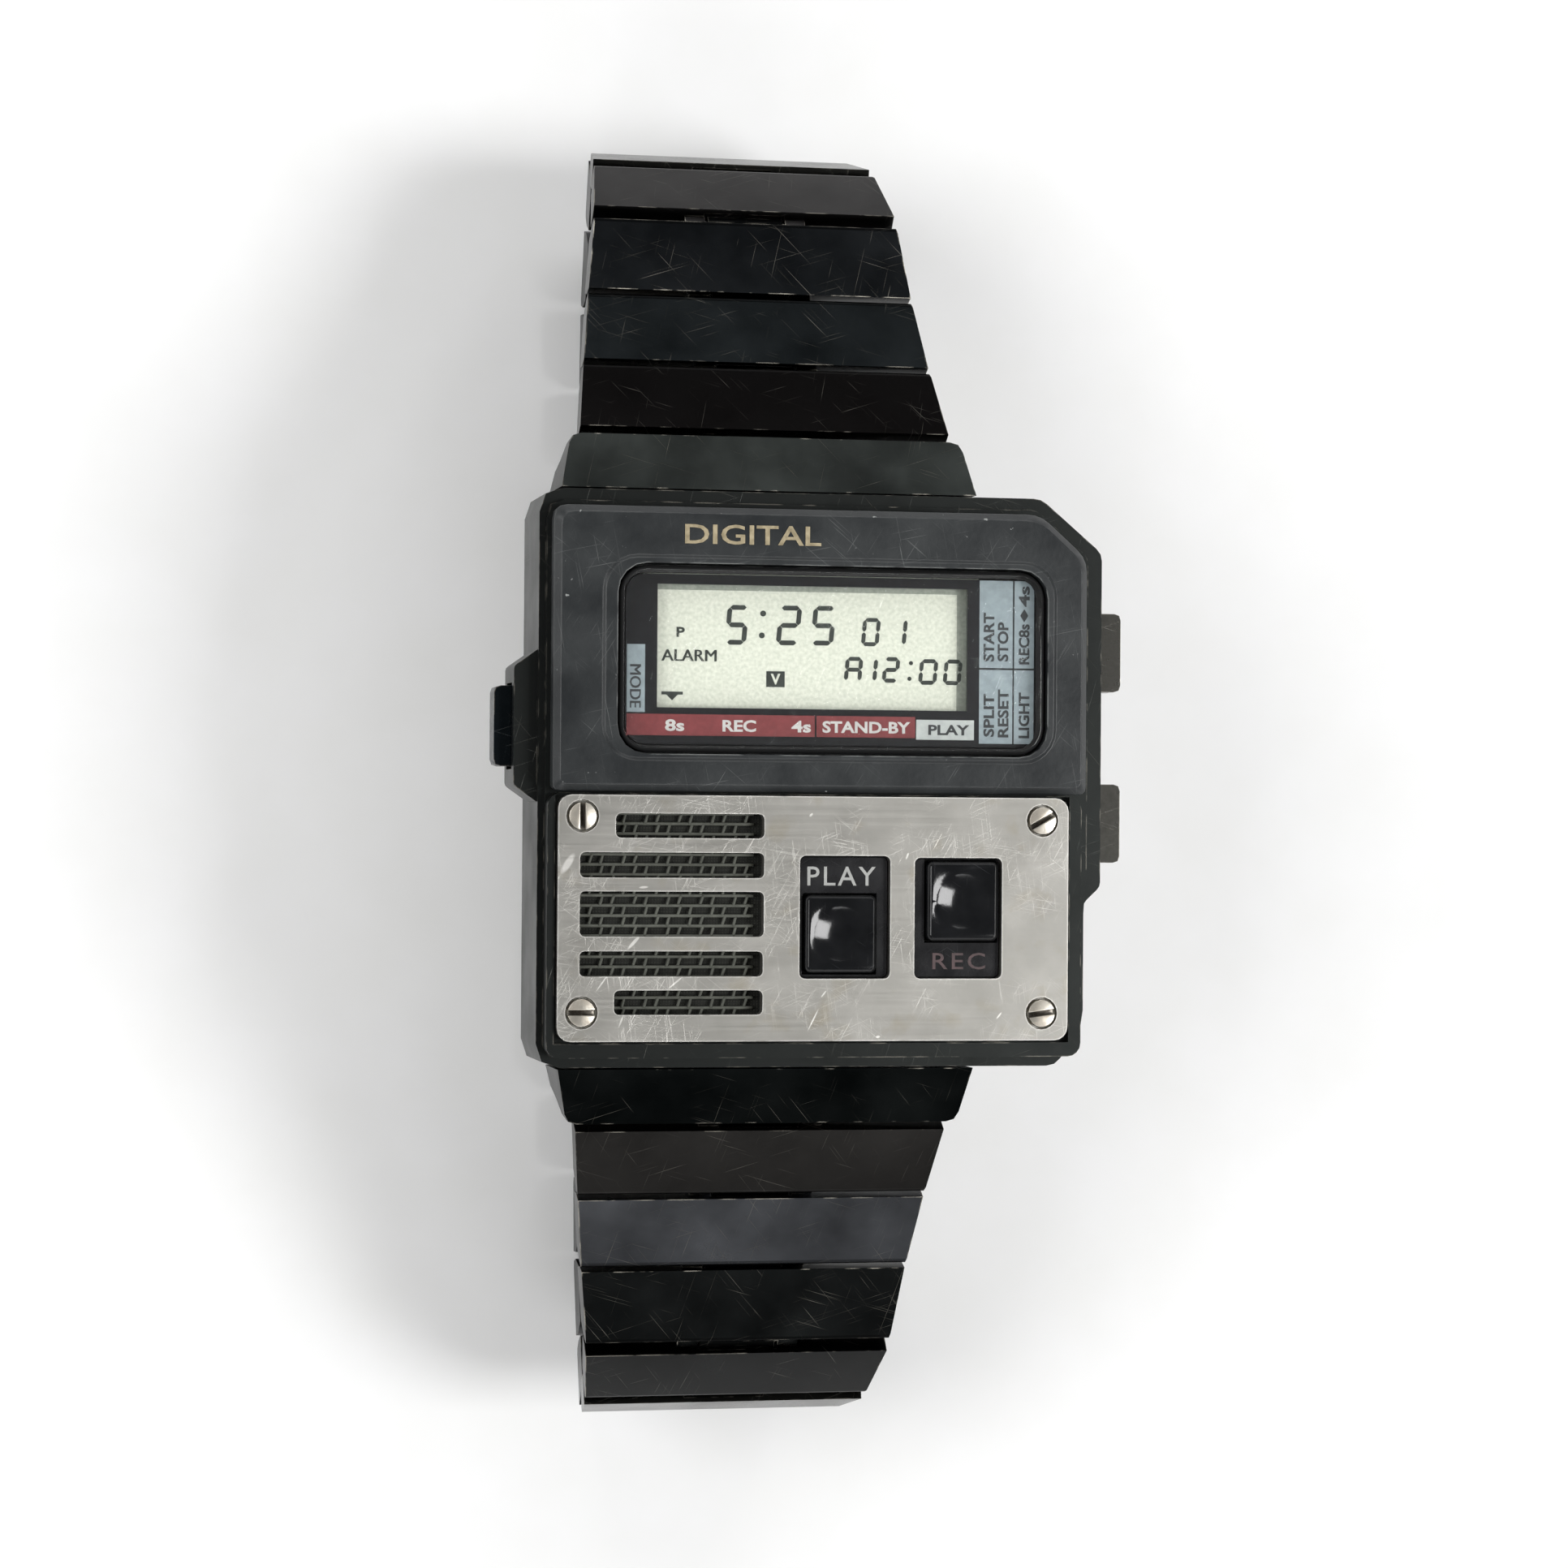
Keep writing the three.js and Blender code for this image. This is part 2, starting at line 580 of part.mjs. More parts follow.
// Gives a solid the middle finger with the far pin's hole, at distance y along the link.
function withTongue(solid, y) {
  return solid
    .add(block(-TONGUE_HALF, TONGUE_HALF, y - 1.5, y, -KNUCKLE_R, 0.45))
    .add(rodAlongX(-TONGUE_HALF, TONGUE_HALF, y, 0, KNUCKLE_R))
    .subtract(rodAlongX(-LUG_INNER, LUG_INNER, y, 0, PIN_HOLE_R, 8));
}

// Room under the outer skin for the neighbour's lugs, at distance y along the link.
function lugPockets(y) {
  const reach = [y - 1.05, y + 2, -3, 0.85];
  return block(-LUG_OUTER - 0.2, -TONGUE_HALF, ...reach).add(block(TONGUE_HALF, LUG_OUTER + 0.2, ...reach));
}

// The two outer fingers at the near pin, with the pin fixed between them.
function lugsWithPin() {
  let lugs = rodAlongX(-LUG_OUTER, LUG_OUTER, 0, 0, PIN_R, 6);
  for (const [x0, x1] of [[-LUG_OUTER, -LUG_INNER], [LUG_INNER, LUG_OUTER]]) {
    lugs = lugs.add(rodAlongX(x0, x1, 0, 0, KNUCKLE_R)).add(block(x0, x1, 0, 1.4, -KNUCKLE_R, 0.45));
  }
  return lugs;
}

function bandLink(distance) {
  const start = bandWidth(distance) / 2;
  const end = bandWidth(distance + LINK_PITCH) / 2;
  const side = [
    [0.25, LINK_OUTER],
    [0.25, 0.2],
    [0.9, -LINK_INNER],
    [LINK_PITCH - 0.9, -LINK_INNER],
    [LINK_PITCH - 0.2, 0.2],
    [LINK_PITCH - 0.2, LINK_OUTER - 0.2],
    [LINK_PITCH - 0.65, LINK_OUTER],
  ];
  const taper = new THREE.Shape([
    new THREE.Vector2(-start, 0),
    new THREE.Vector2(start, 0),
    new THREE.Vector2(end, LINK_PITCH),
    new THREE.Vector2(-end, LINK_PITCH),
  ]);
  const body = sideProfile(side, -start, start)
    .intersect(plate(taper, -3, 3))
    .subtract(block(-LUG_INNER, LUG_INNER, -1, 1.05, -3, 0.85))
    .subtract(lugPockets(LINK_PITCH));
  return withTongue(body, LINK_PITCH).add(lugsWithPin());
}

// The fixed piece between the case and the first link, in the same frame as a half's first pin.
function endPiece() {
  const level = (depth) => at(depth) - FIRST_PIN_Z;
  const slope = rad(HOOD_SLOPE);
  const tip = { y: -0.2 * Math.cos(slope), z: 0.2 * Math.sin(slope) };
  const outer = 1.35;
  const near = CASE_TOP + 0.12 - FIRST_PIN_Y;
  const top = [tip.y + outer * Math.sin(slope), tip.z + outer * Math.cos(slope)];
  const shoulder = near + 0.55;
  const side = [
    [near, level(RIM_DEPTH + 0.25)],
    [near, level(8.4)],
    [near + 1.4, level(8.0)],
    [-1.3, -1.1],
    [tip.y - 0.2, tip.z + 0.1],
    [tip.y, tip.z + 0.2],
    top,
    [shoulder, top[1] + (top[0] - shoulder) * Math.tan(slope)],
  ];
  const halfNear = 14.0;
  const halfFar = 13.2;
  const plan = softPolygon([
    [-halfNear, near, 0.05],
    [halfNear, near, 0.05],
    [halfFar, top[0], 0.7],
    [-halfFar, top[0], 0.7],
  ]);
  const body = sideProfile(side, -halfNear, halfNear)
    .intersect(plate(plan, -8, 8))
    .subtract(lugPockets(0));
  return withTongue(body, 0);
}

// A group for each half: its frame is the half's first pin, and the six o'clock half is turned round.
function bandHalf(prefix, turn) {
  const half = new THREE.Group();
  half.rotation.z = turn;
  watch.add(half);
  const piece = addPiece(`${prefix}_end_piece`, endPiece(), blackSteel, half);
  piece.position.set(0, FIRST_PIN_Y, FIRST_PIN_Z);
  const pin = new THREE.Vector3(0, FIRST_PIN_Y, FIRST_PIN_Z);
  LINK_SLOPES.forEach((slope, i) => {
    const isLast = i === LINK_SLOPES.length - 1;
    const solid = prefix === 'lower' && isLast ? lastLink(i * LINK_PITCH) : bandLink(i * LINK_PITCH);
    const link = addPiece(`${prefix}_link_${i + 1}`, solid, blackSteel, half);
    link.position.copy(pin);
    link.rotation.x = -rad(slope);
    pin.y += LINK_PITCH * Math.cos(rad(slope));
    pin.z -= LINK_PITCH * Math.sin(rad(slope));
  });
  return pin;
}

// The last link of the six o'clock half carries the spring bar, drawn in clear of the clasp's sides.
function lastLink(distance) {
  return bandLink(distance).add(rodAlongX(-7.7, 7.7, LINK_PITCH, 0, PIN_R, 8));
}

const claspPin = bandHalf('upper', 0);
bandHalf('lower', Math.PI);

// ---------------------------------------------------------------- fold-over clasp
// Inner blade, middle blade and cover lie on each other like a Z pressed flat.

const BLADE_HALF = 6.3;
const BLADE = 0.6;
const INNER_Z = 3.0;
const MIDDLE_Z = 1.5;
const FAR_HINGE = { y: -18.0, z: 2.5 };
const NEAR_HINGE = { y: 19.0, z: 1.9 };
const BLADE_KNUCKLE = 0.75;
const COVER_HALF = 9.0;
const COVER_END = 22.4;
const COVER_BASE = 1.0;
const COVER_WALL = 0.9;
const COVER_TOP = 3.6;

function innerBlade() {
  const { y, z } = claspPin;
  const side = [
    [y - 1.0, z - 0.45],
    [y - 3.4, INNER_Z],
    [FAR_HINGE.y, INNER_Z],
    [FAR_HINGE.y, INNER_Z + BLADE],
    [y - 3.1, INNER_Z + BLADE],
    [y - 0.9, z + 0.45],
  ];
  const lugs = lugsWithPin().rotate([180, 0, 0]).translate([0, y, z]);
  return sideProfile(side, -BLADE_HALF, BLADE_HALF)
    .subtract(block(-LUG_INNER, LUG_INNER, y - 1.2, y + 2, 0, 6))
    .subtract(block(-8, -2.5, FAR_HINGE.y - 1, FAR_HINGE.y + 1.2, 0, 6))
    .subtract(block(2.5, 8, FAR_HINGE.y - 1, FAR_HINGE.y + 1.2, 0, 6))
    .add(lugs)
    .add(rodAlongX(-2.5, 2.5, FAR_HINGE.y, FAR_HINGE.z, BLADE_KNUCKLE))
    .subtract(rodAlongX(-3, 3, FAR_HINGE.y, FAR_HINGE.z, 0.45, 8));
}

function middleBlade() {
  let blade = block(-BLADE_HALF, BLADE_HALF, FAR_HINGE.y, NEAR_HINGE.y, MIDDLE_Z, MIDDLE_Z + BLADE)
    .subtract(block(-2.8, 2.8, FAR_HINGE.y - 1, FAR_HINGE.y + 1.4, 0, 5))
    .subtract(block(-8, -2.5, NEAR_HINGE.y - 1.2, NEAR_HINGE.y + 1, 0, 5))
    .subtract(block(2.5, 8, NEAR_HINGE.y - 1.2, NEAR_HINGE.y + 1, 0, 5))
    .add(rodAlongX(-2.5, 2.5, NEAR_HINGE.y, NEAR_HINGE.z, 0.7))
    .subtract(rodAlongX(-3, 3, NEAR_HINGE.y, NEAR_HINGE.z, 0.45, 8));
  for (const [x0, x1] of [[-BLADE_HALF, -2.8], [2.8, BLADE_HALF]]) {
    blade = blade.add(rodAlongX(x0, x1, FAR_HINGE.y, FAR_HINGE.z, BLADE_KNUCKLE));
  }
  return blade.add(rodAlongX(-BLADE_HALF, BLADE_HALF, FAR_HINGE.y, FAR_HINGE.z, 0.35, 6));
}

function claspCover() {
  const channel = [
    [-COVER_END, 0.9],
    [-COVER_END + 1.2, 0],
    [COVER_END - 2.2, 0],
    [COVER_END - 1.2, 0.9],
    [COVER_END - 1.2, COVER_TOP - 0.8],
    [COVER_END - 2.2, COVER_TOP],
    [-COVER_END + 1.6, COVER_TOP],
    [-COVER_END, 2.0],
  ];
  const inside = COVER_HALF - COVER_WALL;
  let cover = sideProfile(channel, -COVER_HALF, COVER_HALF)
    .subtract(block(-inside, inside, -30, 30, COVER_BASE, 8))
    .subtract(block(-inside, inside, -30, -COVER_END + 1.2, -1, 8))
    .add(rodAlongX(-BLADE_HALF, BLADE_HALF, NEAR_HINGE.y, NEAR_HINGE.z, 0.35, 6));
  for (const [x0, x1] of [[-BLADE_HALF, -2.8], [2.8, BLADE_HALF]]) {
    cover = cover
      .add(rodAlongX(x0, x1, NEAR_HINGE.y, NEAR_HINGE.z, 0.7))
      .add(block(x0, x1, NEAR_HINGE.y - 0.7, NEAR_HINGE.y + 0.7, 0.9, NEAR_HINGE.z));
  }
  return cover;
}

addPiece('clasp_inner_blade', innerBlade(), springSteel);
addPiece('clasp_middle_blade', middleBlade(), springSteel);
addPiece('clasp_cover', claspCover(), blackSteel);

export default watch;
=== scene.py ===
# %% [markdown]
# # A digital wristwatch that records a voice memo
#
# The watch is a black steel case with a liquid crystal display in its upper half and a
# loudspeaker behind a slotted steel plate in its lower half. The frame brings the exact
# shapes. This lesson gives them their metals, glass, inks and wear, and adds what is too
# fine for the frame: the woven wire behind the slots, the display's figures and the
# printed words.

# %% Load the frame
import math

import bmesh
import bpy
from mathutils import Matrix, Vector


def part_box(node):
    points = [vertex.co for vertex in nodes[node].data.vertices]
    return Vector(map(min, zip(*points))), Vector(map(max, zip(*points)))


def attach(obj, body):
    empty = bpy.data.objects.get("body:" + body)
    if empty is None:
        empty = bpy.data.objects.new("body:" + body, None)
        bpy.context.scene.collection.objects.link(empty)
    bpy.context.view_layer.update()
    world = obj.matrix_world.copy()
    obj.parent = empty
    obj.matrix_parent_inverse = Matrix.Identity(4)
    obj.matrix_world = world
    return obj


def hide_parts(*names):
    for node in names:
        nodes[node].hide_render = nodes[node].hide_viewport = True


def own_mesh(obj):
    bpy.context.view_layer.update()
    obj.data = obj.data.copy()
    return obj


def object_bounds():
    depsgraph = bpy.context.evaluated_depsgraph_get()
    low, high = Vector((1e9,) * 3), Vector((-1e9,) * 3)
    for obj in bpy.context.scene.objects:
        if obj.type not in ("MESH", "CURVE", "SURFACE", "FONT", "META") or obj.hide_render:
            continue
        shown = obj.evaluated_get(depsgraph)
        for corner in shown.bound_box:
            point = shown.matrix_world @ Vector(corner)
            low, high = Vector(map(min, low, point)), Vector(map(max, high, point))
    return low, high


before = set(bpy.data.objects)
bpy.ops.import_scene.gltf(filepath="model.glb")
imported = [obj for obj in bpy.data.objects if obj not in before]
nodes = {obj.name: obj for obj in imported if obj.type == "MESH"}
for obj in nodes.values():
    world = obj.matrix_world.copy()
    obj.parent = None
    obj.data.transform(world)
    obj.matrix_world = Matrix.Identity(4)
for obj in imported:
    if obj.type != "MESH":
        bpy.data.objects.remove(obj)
cad_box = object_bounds()
MM = 0.001
FACE = cad_box[1][2] / MM


# %% Heights are measured down from the top face
def below(depth):
    """The height of a level that lies this many millimetres under the bezel's top."""
    return FACE - depth


print("display window at", round(below(2.15), 2), "mm")

# %% [markdown]
# ## The camera
#
# A watch on a table is looked at from almost straight above. Tilting the view a little to
# the left shows the band's inner sides turning away, and it is this tilt that makes the
# two halves of the band lean. The camera's three axes are worked out from the tilt and
# put in a matrix, which is exact where aiming with constraints would need rounding.

# %% Camera
LEAN_LEFT = math.radians(11.38)
LEAN_DOWN = math.radians(0.64)
ROLL = math.radians(0.39)
DISTANCE = 263.6
AIM = Vector((0.47, -0.31, FACE))

backward = Vector((-math.sin(LEAN_LEFT), -math.sin(LEAN_DOWN), 0))
backward.z = math.sqrt(1 - backward.length_squared)
level_right = Vector((0, 1, 0)).cross(backward).normalized()
level_up = backward.cross(level_right)
right = level_right * math.cos(ROLL) + level_up * math.sin(ROLL)
up = level_up * math.cos(ROLL) - level_right * math.sin(ROLL)

camera = bpy.data.objects.new("camera", bpy.data.cameras.new("camera"))
bpy.context.scene.collection.objects.link(camera)
place = Matrix((right, up, backward)).transposed().to_4x4()
place.translation = (AIM + backward * DISTANCE) * MM
camera.matrix_world = place
camera.data.angle = math.radians(22.08)
camera.data.clip_start = 0.01
bpy.context.scene.camera = camera
print("camera at", [round(v, 3) for v in camera.location], "m")

# %% [markdown]
# ## Nodes and colours
#
# Every finish below is a small graph of nodes. One function adds a node, sets it and wires
# it up, and another fills the inputs of a node that is already there, so a finish reads as
# a list of what it is made of. Colours are written the way a paint chart gives them, as
# sRGB hex, and turned to linear light for the shader.


# %% Fill a node's inputs: a socket is linked, anything else is a value
def fill(tree, node, inputs):
    for name, value in inputs.items():
        if isinstance(value, bpy.types.NodeSocket):
            tree.links.new(value, node.inputs[name])
        else:
            node.inputs[name].default_value = value


# %% Add a node
def add(tree, kind, inputs=None, **settings):
    made = tree.nodes.new(kind)
    for name, value in settings.items():
        setattr(made, name, value)
    fill(tree, made, inputs or {})
    return made


# %% Turn an sRGB hex colour to linear
def linear(colour):
    parts = [int(colour[i : i + 2], 16) / 255 for i in (1, 3, 5)]
    return (*[c / 12.92 if c < 0.04045 else ((c + 0.055) / 1.055) ** 2.4 for c in parts], 1)


print("mid grey", [round(c, 3) for c in linear("#808080")[:3]])


# %% Start a finish: its tree, its place in millimetres and its shader
def new_finish(name):
    material = bpy.data.materials.new(name)
    material.use_nodes = True
    tree = material.node_tree
    tree.nodes.clear()
    place = add(tree, "ShaderNodeTexCoord").outputs["Object"]
    in_mm = add(tree, "ShaderNodeVectorMath", {0: place, 3: 1 / MM}, operation="SCALE").outputs[0]
    shader = add(tree, "ShaderNodeBsdfPrincipled")
    output = add(tree, "ShaderNodeOutputMaterial", {"Surface": shader.outputs[0]})
    print("finish", name)
    return material, tree, in_mm, shader, output


# %% [markdown]
# ## Wear, drawn three ways
#
# A worn watch tells its story in three marks. Soft patches are where sleeves have polished
# it. Hairlines are the fine straight scratches of daily use. Bright edges are where the
# coating has rubbed through to steel. Each is a mask from 0 to 1 that a finish mixes in.
# Two masks are put together by the larger of the two where both should show, and by their
# product where one should break up the other.


# %% Soft patches of a given size
def patches(tree, in_mm, size, low, high, detail=3.0):
    noise = {"Vector": in_mm, "Scale": 1 / size, "Detail": detail}
    cloud = add(tree, "ShaderNodeTexNoise", noise).outputs[0]
    window = {"Value": cloud, "From Min": low, "From Max": high}
    return add(tree, "ShaderNodeMapRange", window).outputs[0]


# %% Hairlines: noise drawn out along one direction, with only its crests kept
def hairlines(tree, in_mm, turn, length, width, share):
    drawn_out = {
        "Vector": in_mm,
        "Rotation": (0, 0, math.radians(turn)),
        "Scale": (length, width, length),
    }
    turned = add(tree, "ShaderNodeMapping", drawn_out, vector_type="TEXTURE").outputs[0]
    noise = {"Vector": turned, "Scale": 1.0, "Detail": 1.0}
    crest = add(tree, "ShaderNodeTexNoise", noise).outputs[0]
    start = 0.78 - 0.16 * share
    window = {"Value": crest, "From Min": start, "From Max": start + 0.05}
    return add(tree, "ShaderNodeMapRange", window).outputs[0]


# %% A tangle of hairlines, broken up by soft patches
def scratches(tree, in_mm, directions, length, width, share):
    tangle = 0.0
    for turn in directions:
        lines = hairlines(tree, in_mm, turn, length, width, share)
        tangle = add(tree, "ShaderNodeMath", {0: tangle, 1: lines}, operation="MAXIMUM").outputs[0]
    broken = patches(tree, in_mm, 4.0, 0.42, 0.6)
    return add(tree, "ShaderNodeMath", {0: tangle, 1: broken}, operation="MULTIPLY").outputs[0]


# %% Bright edges: where the surface turns within a small radius
def worn_edges(tree, in_mm, radius, reach):
    rounded = add(tree, "ShaderNodeBevel", {"Radius": radius * MM}, samples=6).outputs[0]
    flat = add(tree, "ShaderNodeNewGeometry").outputs["Normal"]
    pair = {0: rounded, 1: flat}
    facing = add(tree, "ShaderNodeVectorMath", pair, operation="DOT_PRODUCT").outputs["Value"]
    window = {"Value": facing, "From Min": 0.99, "From Max": 0.86}
    turning = add(tree, "ShaderNodeMapRange", window).outputs[0]
    rubbed = patches(tree, in_mm, 1.6, 0.62 - 0.3 * reach, 0.74 - 0.3 * reach, 5.0)
    return add(tree, "ShaderNodeMath", {0: turning, 1: rubbed}, operation="MULTIPLY").outputs[0]


# %% [markdown]
# ## Black plated steel
#
# The case, the band and the clasp are stainless steel with a thin black nitride film laid
# on by ion plating. The film is a metal, so it mirrors in a dark grey, and the satin under
# it blurs that mirror. The finish takes the film's colour, its roughness and how worn it
# is. On the band's links that colour is partly painted reflection and painted shade, paler
# or darker by how each link's tilt catches the surroundings. A mix node takes its two
# colours at inputs 6 and 7 and gives the result at output 2.


# %% Black ion-plated steel
def plated_steel(name, film, roughness, wear, lines, cloud_size=5.0):
    material, tree, in_mm, shader, _ = new_finish(name)
    handling = patches(tree, in_mm, cloud_size, 0.3, 0.75, 6.0)
    marks = scratches(tree, in_mm, (18, 74, 131, 163), 6.0, 0.07, lines)
    edges = worn_edges(tree, in_mm, 0.14, wear)
    faint = add(tree, "ShaderNodeMath", {0: marks, 1: 0.20}, operation="MULTIPLY").outputs[0]
    bare = add(tree, "ShaderNodeMath", {0: faint, 1: edges}, operation="MAXIMUM").outputs[0]
    paler = tuple(min(1.0, c * 1.9 + 0.002) for c in linear(film)[:3]) + (1,)
    tones = {0: handling, 6: linear(film), 7: paler}
    tone = add(tree, "ShaderNodeMix", tones, data_type="RGBA").outputs[2]
    tones = {0: bare, 6: tone, 7: linear("#9a968c")}
    tone = add(tree, "ShaderNodeMix", tones, data_type="RGBA").outputs[2]
    blur = {"Value": handling, "To Min": roughness, "To Max": roughness * 0.72}
    dull = add(tree, "ShaderNodeMapRange", blur).outputs[0]
    noise = {"Vector": in_mm, "Scale": 9.0, "Detail": 2.0}
    satin = add(tree, "ShaderNodeTexNoise", noise).outputs[0]
    grain = add(tree, "ShaderNodeBump", {"Height": satin, "Distance": 0.0015 * MM}).outputs[0]
    sunk = add(tree, "ShaderNodeMath", {0: 1.0, 1: marks}, operation="SUBTRACT").outputs[0]
    cuts = {"Height": sunk, "Distance": 0.006 * MM, "Normal": grain}
    normal = add(tree, "ShaderNodeBump", cuts).outputs[0]
    fill(tree, shader, {"Base Color": tone, "Metallic": 1.0, "Roughness": dull, "Normal": normal})
    return material


# %% [markdown]
# The band's links were rubbed by different amounts, so each gets its own roughness, edge
# wear and share of hairlines. Each also gets its own film colour, which is painted
# reflection and painted shade: a link tilted towards the bright surroundings is painted
# paler, one tilted away darker, and the end pieces beside the case are toned the same way.

# %% Tones of the band: film colour with painted reflection and shade, roughness, wear, hairlines
BAND_LIT_TONES = {
    "upper_end_piece": ("#1a1c1b", 0.42, 0.25, 0.2),
    "upper_link_1": ("#080707", 0.36, 0.35, 0.3),
    "upper_link_2": ("#080a0b", 0.30, 0.45, 0.4),
    "upper_link_3": ("#060708", 0.30, 0.50, 0.4),
    "upper_link_4": ("#201f1f", 0.34, 0.45, 0.35),
    "upper_link_5": ("#242422", 0.30, 0.60, 0.4),
    "lower_end_piece": ("#030404", 0.36, 0.20, 0.2),
    "lower_link_1": ("#1e1d1c", 0.40, 0.35, 0.3),
    "lower_link_2": ("#252628", 0.36, 0.45, 0.5),
    "lower_link_3": ("#070808", 0.34, 0.35, 0.4),
    "lower_link_4": ("#070808", 0.34, 0.50, 0.3),
    "lower_link_5": ("#222220", 0.30, 0.60, 0.4),
}
# Each link's film colour here is partly painted reflection and painted shade.
for node, (film, roughness, wear, lines) in BAND_LIT_TONES.items():
    finish = plated_steel("ion_plated_steel_" + node, film, roughness, wear, lines)
    nodes[node].data.materials[0] = finish
print("band tones", len(BAND_LIT_TONES))

# %% The far links, the case and the clasp
band_black = plated_steel("ion_plated_steel_far_links", "#1d1f20", 0.36, 0.45, 0.4)
case_black = plated_steel("ion_plated_steel_case", "#2f3130", 0.42, 0.40, 0.30)
clasp_black = plated_steel("ion_plated_steel_clasp", "#232526", 0.34, 0.50, 0.7)
pusher_grey = plated_steel("ion_plated_steel_rubbed_pushers", "#504f4b", 0.34, 0.85, 0.3, 0.9)
mode_black = plated_steel("ion_plated_steel_mode_pusher", "#242a2e", 0.32, 0.50, 0.3, 0.9)

# %% [markdown]
# ## The painted bezel
#
# The bezel is a die casting in satin blue-black enamel. Paint is not a metal: it mirrors
# about 4 percent at every colour, and a sleeve polishes its raised rim first. Chips go
# through to pale primer, so they stay small and sharp.


# %% Satin enamel on a die casting
def enamelled_casting(name, colour, rim):
    material, tree, in_mm, shader, _ = new_finish(name)
    cloud = patches(tree, in_mm, 4.0, 0.3, 0.75, 5.0)
    edges = worn_edges(tree, in_mm, 0.16, 0.62)
    chips = patches(tree, in_mm, 0.55, 0.73, 0.76, 4.0)
    marks = scratches(tree, in_mm, (12, 58, 101, 140), 5.0, 0.06, 0.42)
    bare = add(tree, "ShaderNodeMath", {0: marks, 1: 0.30}, operation="MULTIPLY").outputs[0]
    for mask in (chips, edges):
        bare = add(tree, "ShaderNodeMath", {0: bare, 1: mask}, operation="MAXIMUM").outputs[0]
    tones = {0: cloud, 6: linear(colour), 7: linear(rim)}
    tone = add(tree, "ShaderNodeMix", tones, data_type="RGBA").outputs[2]
    tones = {0: bare, 6: tone, 7: linear("#8f9290")}
    tone = add(tree, "ShaderNodeMix", tones, data_type="RGBA").outputs[2]
    blur = {"Value": cloud, "To Min": 0.34, "To Max": 0.46}
    dull = add(tree, "ShaderNodeMapRange", blur).outputs[0]
    noise = {"Vector": in_mm, "Scale": 2.4, "Detail": 3.0}
    peel = add(tree, "ShaderNodeTexNoise", noise).outputs[0]
    waves = add(tree, "ShaderNodeBump", {"Height": peel, "Distance": 0.012 * MM}).outputs[0]
    sunk = add(tree, "ShaderNodeMath", {0: 1.0, 1: bare}, operation="SUBTRACT").outputs[0]
    cuts = {"Height": sunk, "Distance": 0.01 * MM, "Normal": waves}
    normal = add(tree, "ShaderNodeBump", cuts).outputs[0]
    fill(tree, shader, {"Base Color": tone, "Roughness": dull, "Normal": normal})
    return material


bezel_enamel = enamelled_casting("enamelled_zinc_bezel", "#1b1e20", "#2f3233")

# %% [markdown]
# ## The brushed speaker plate
#
# The plate is stainless steel, brushed along its length with fine grit. Real brush lines
# are a few hundredths of a millimetre apart, too fine to show here, so they are drawn
# about 0.12 mm apart. On top lie many small scratches in all directions, a few deep
# gouges, and a warm stain in soft patches where grease has gathered.


# %% One gouge: a long thin spot of light, in its own place and direction
def gouge(tree, in_mm, start, end, width):
    (x0, y0), (x1, y1) = start, end
    spot = {
        "Vector": in_mm,
        "Location": ((x0 + x1) / 2, (y0 + y1) / 2, 0),
        "Rotation": (0, 0, math.atan2(y1 - y0, x1 - x0)),
        "Scale": (math.hypot(x1 - x0, y1 - y0) / 2, width / 2, 1000.0),
    }
    local = add(tree, "ShaderNodeMapping", spot, vector_type="TEXTURE").outputs[0]
    reach = add(tree, "ShaderNodeVectorMath", {0: local}, operation="LENGTH").outputs["Value"]
    window = {"Value": reach, "From Min": 1.0, "From Max": 0.6}
    return add(tree, "ShaderNodeMapRange", window).outputs[0]


# %% Where the plate was struck: start, end and width in millimetres
PLATE_GOUGES = [
    ((-9.85, -11.25), (-8.85, -10.15), 0.26),
    ((-11.9, -14.0), (-10.9, -12.6), 0.12),
    ((2.2, -16.6), (3.0, -15.0), 0.12),
    ((-7.15, -13.8), (-6.05, -12.9), 0.14),
    ((8.78, -5.25), (8.98, -4.75), 0.16),
    ((2.25, -2.45), (2.5, -2.2), 0.18),
    ((3.1, -14.35), (3.5, -13.85), 0.12),
    ((-14.2, -6.3), (-13.3, -4.9), 0.55),
    ((-9.1, -7.15), (-8.4, -7.1), 0.18),
    ((15.0, -15.8), (15.4, -15.3), 0.14),
    ((6.8, -16.95), (7.15, -16.9), 0.2),
    ((-10.35, -16.3), (-10.0, -15.4), 0.14),
]


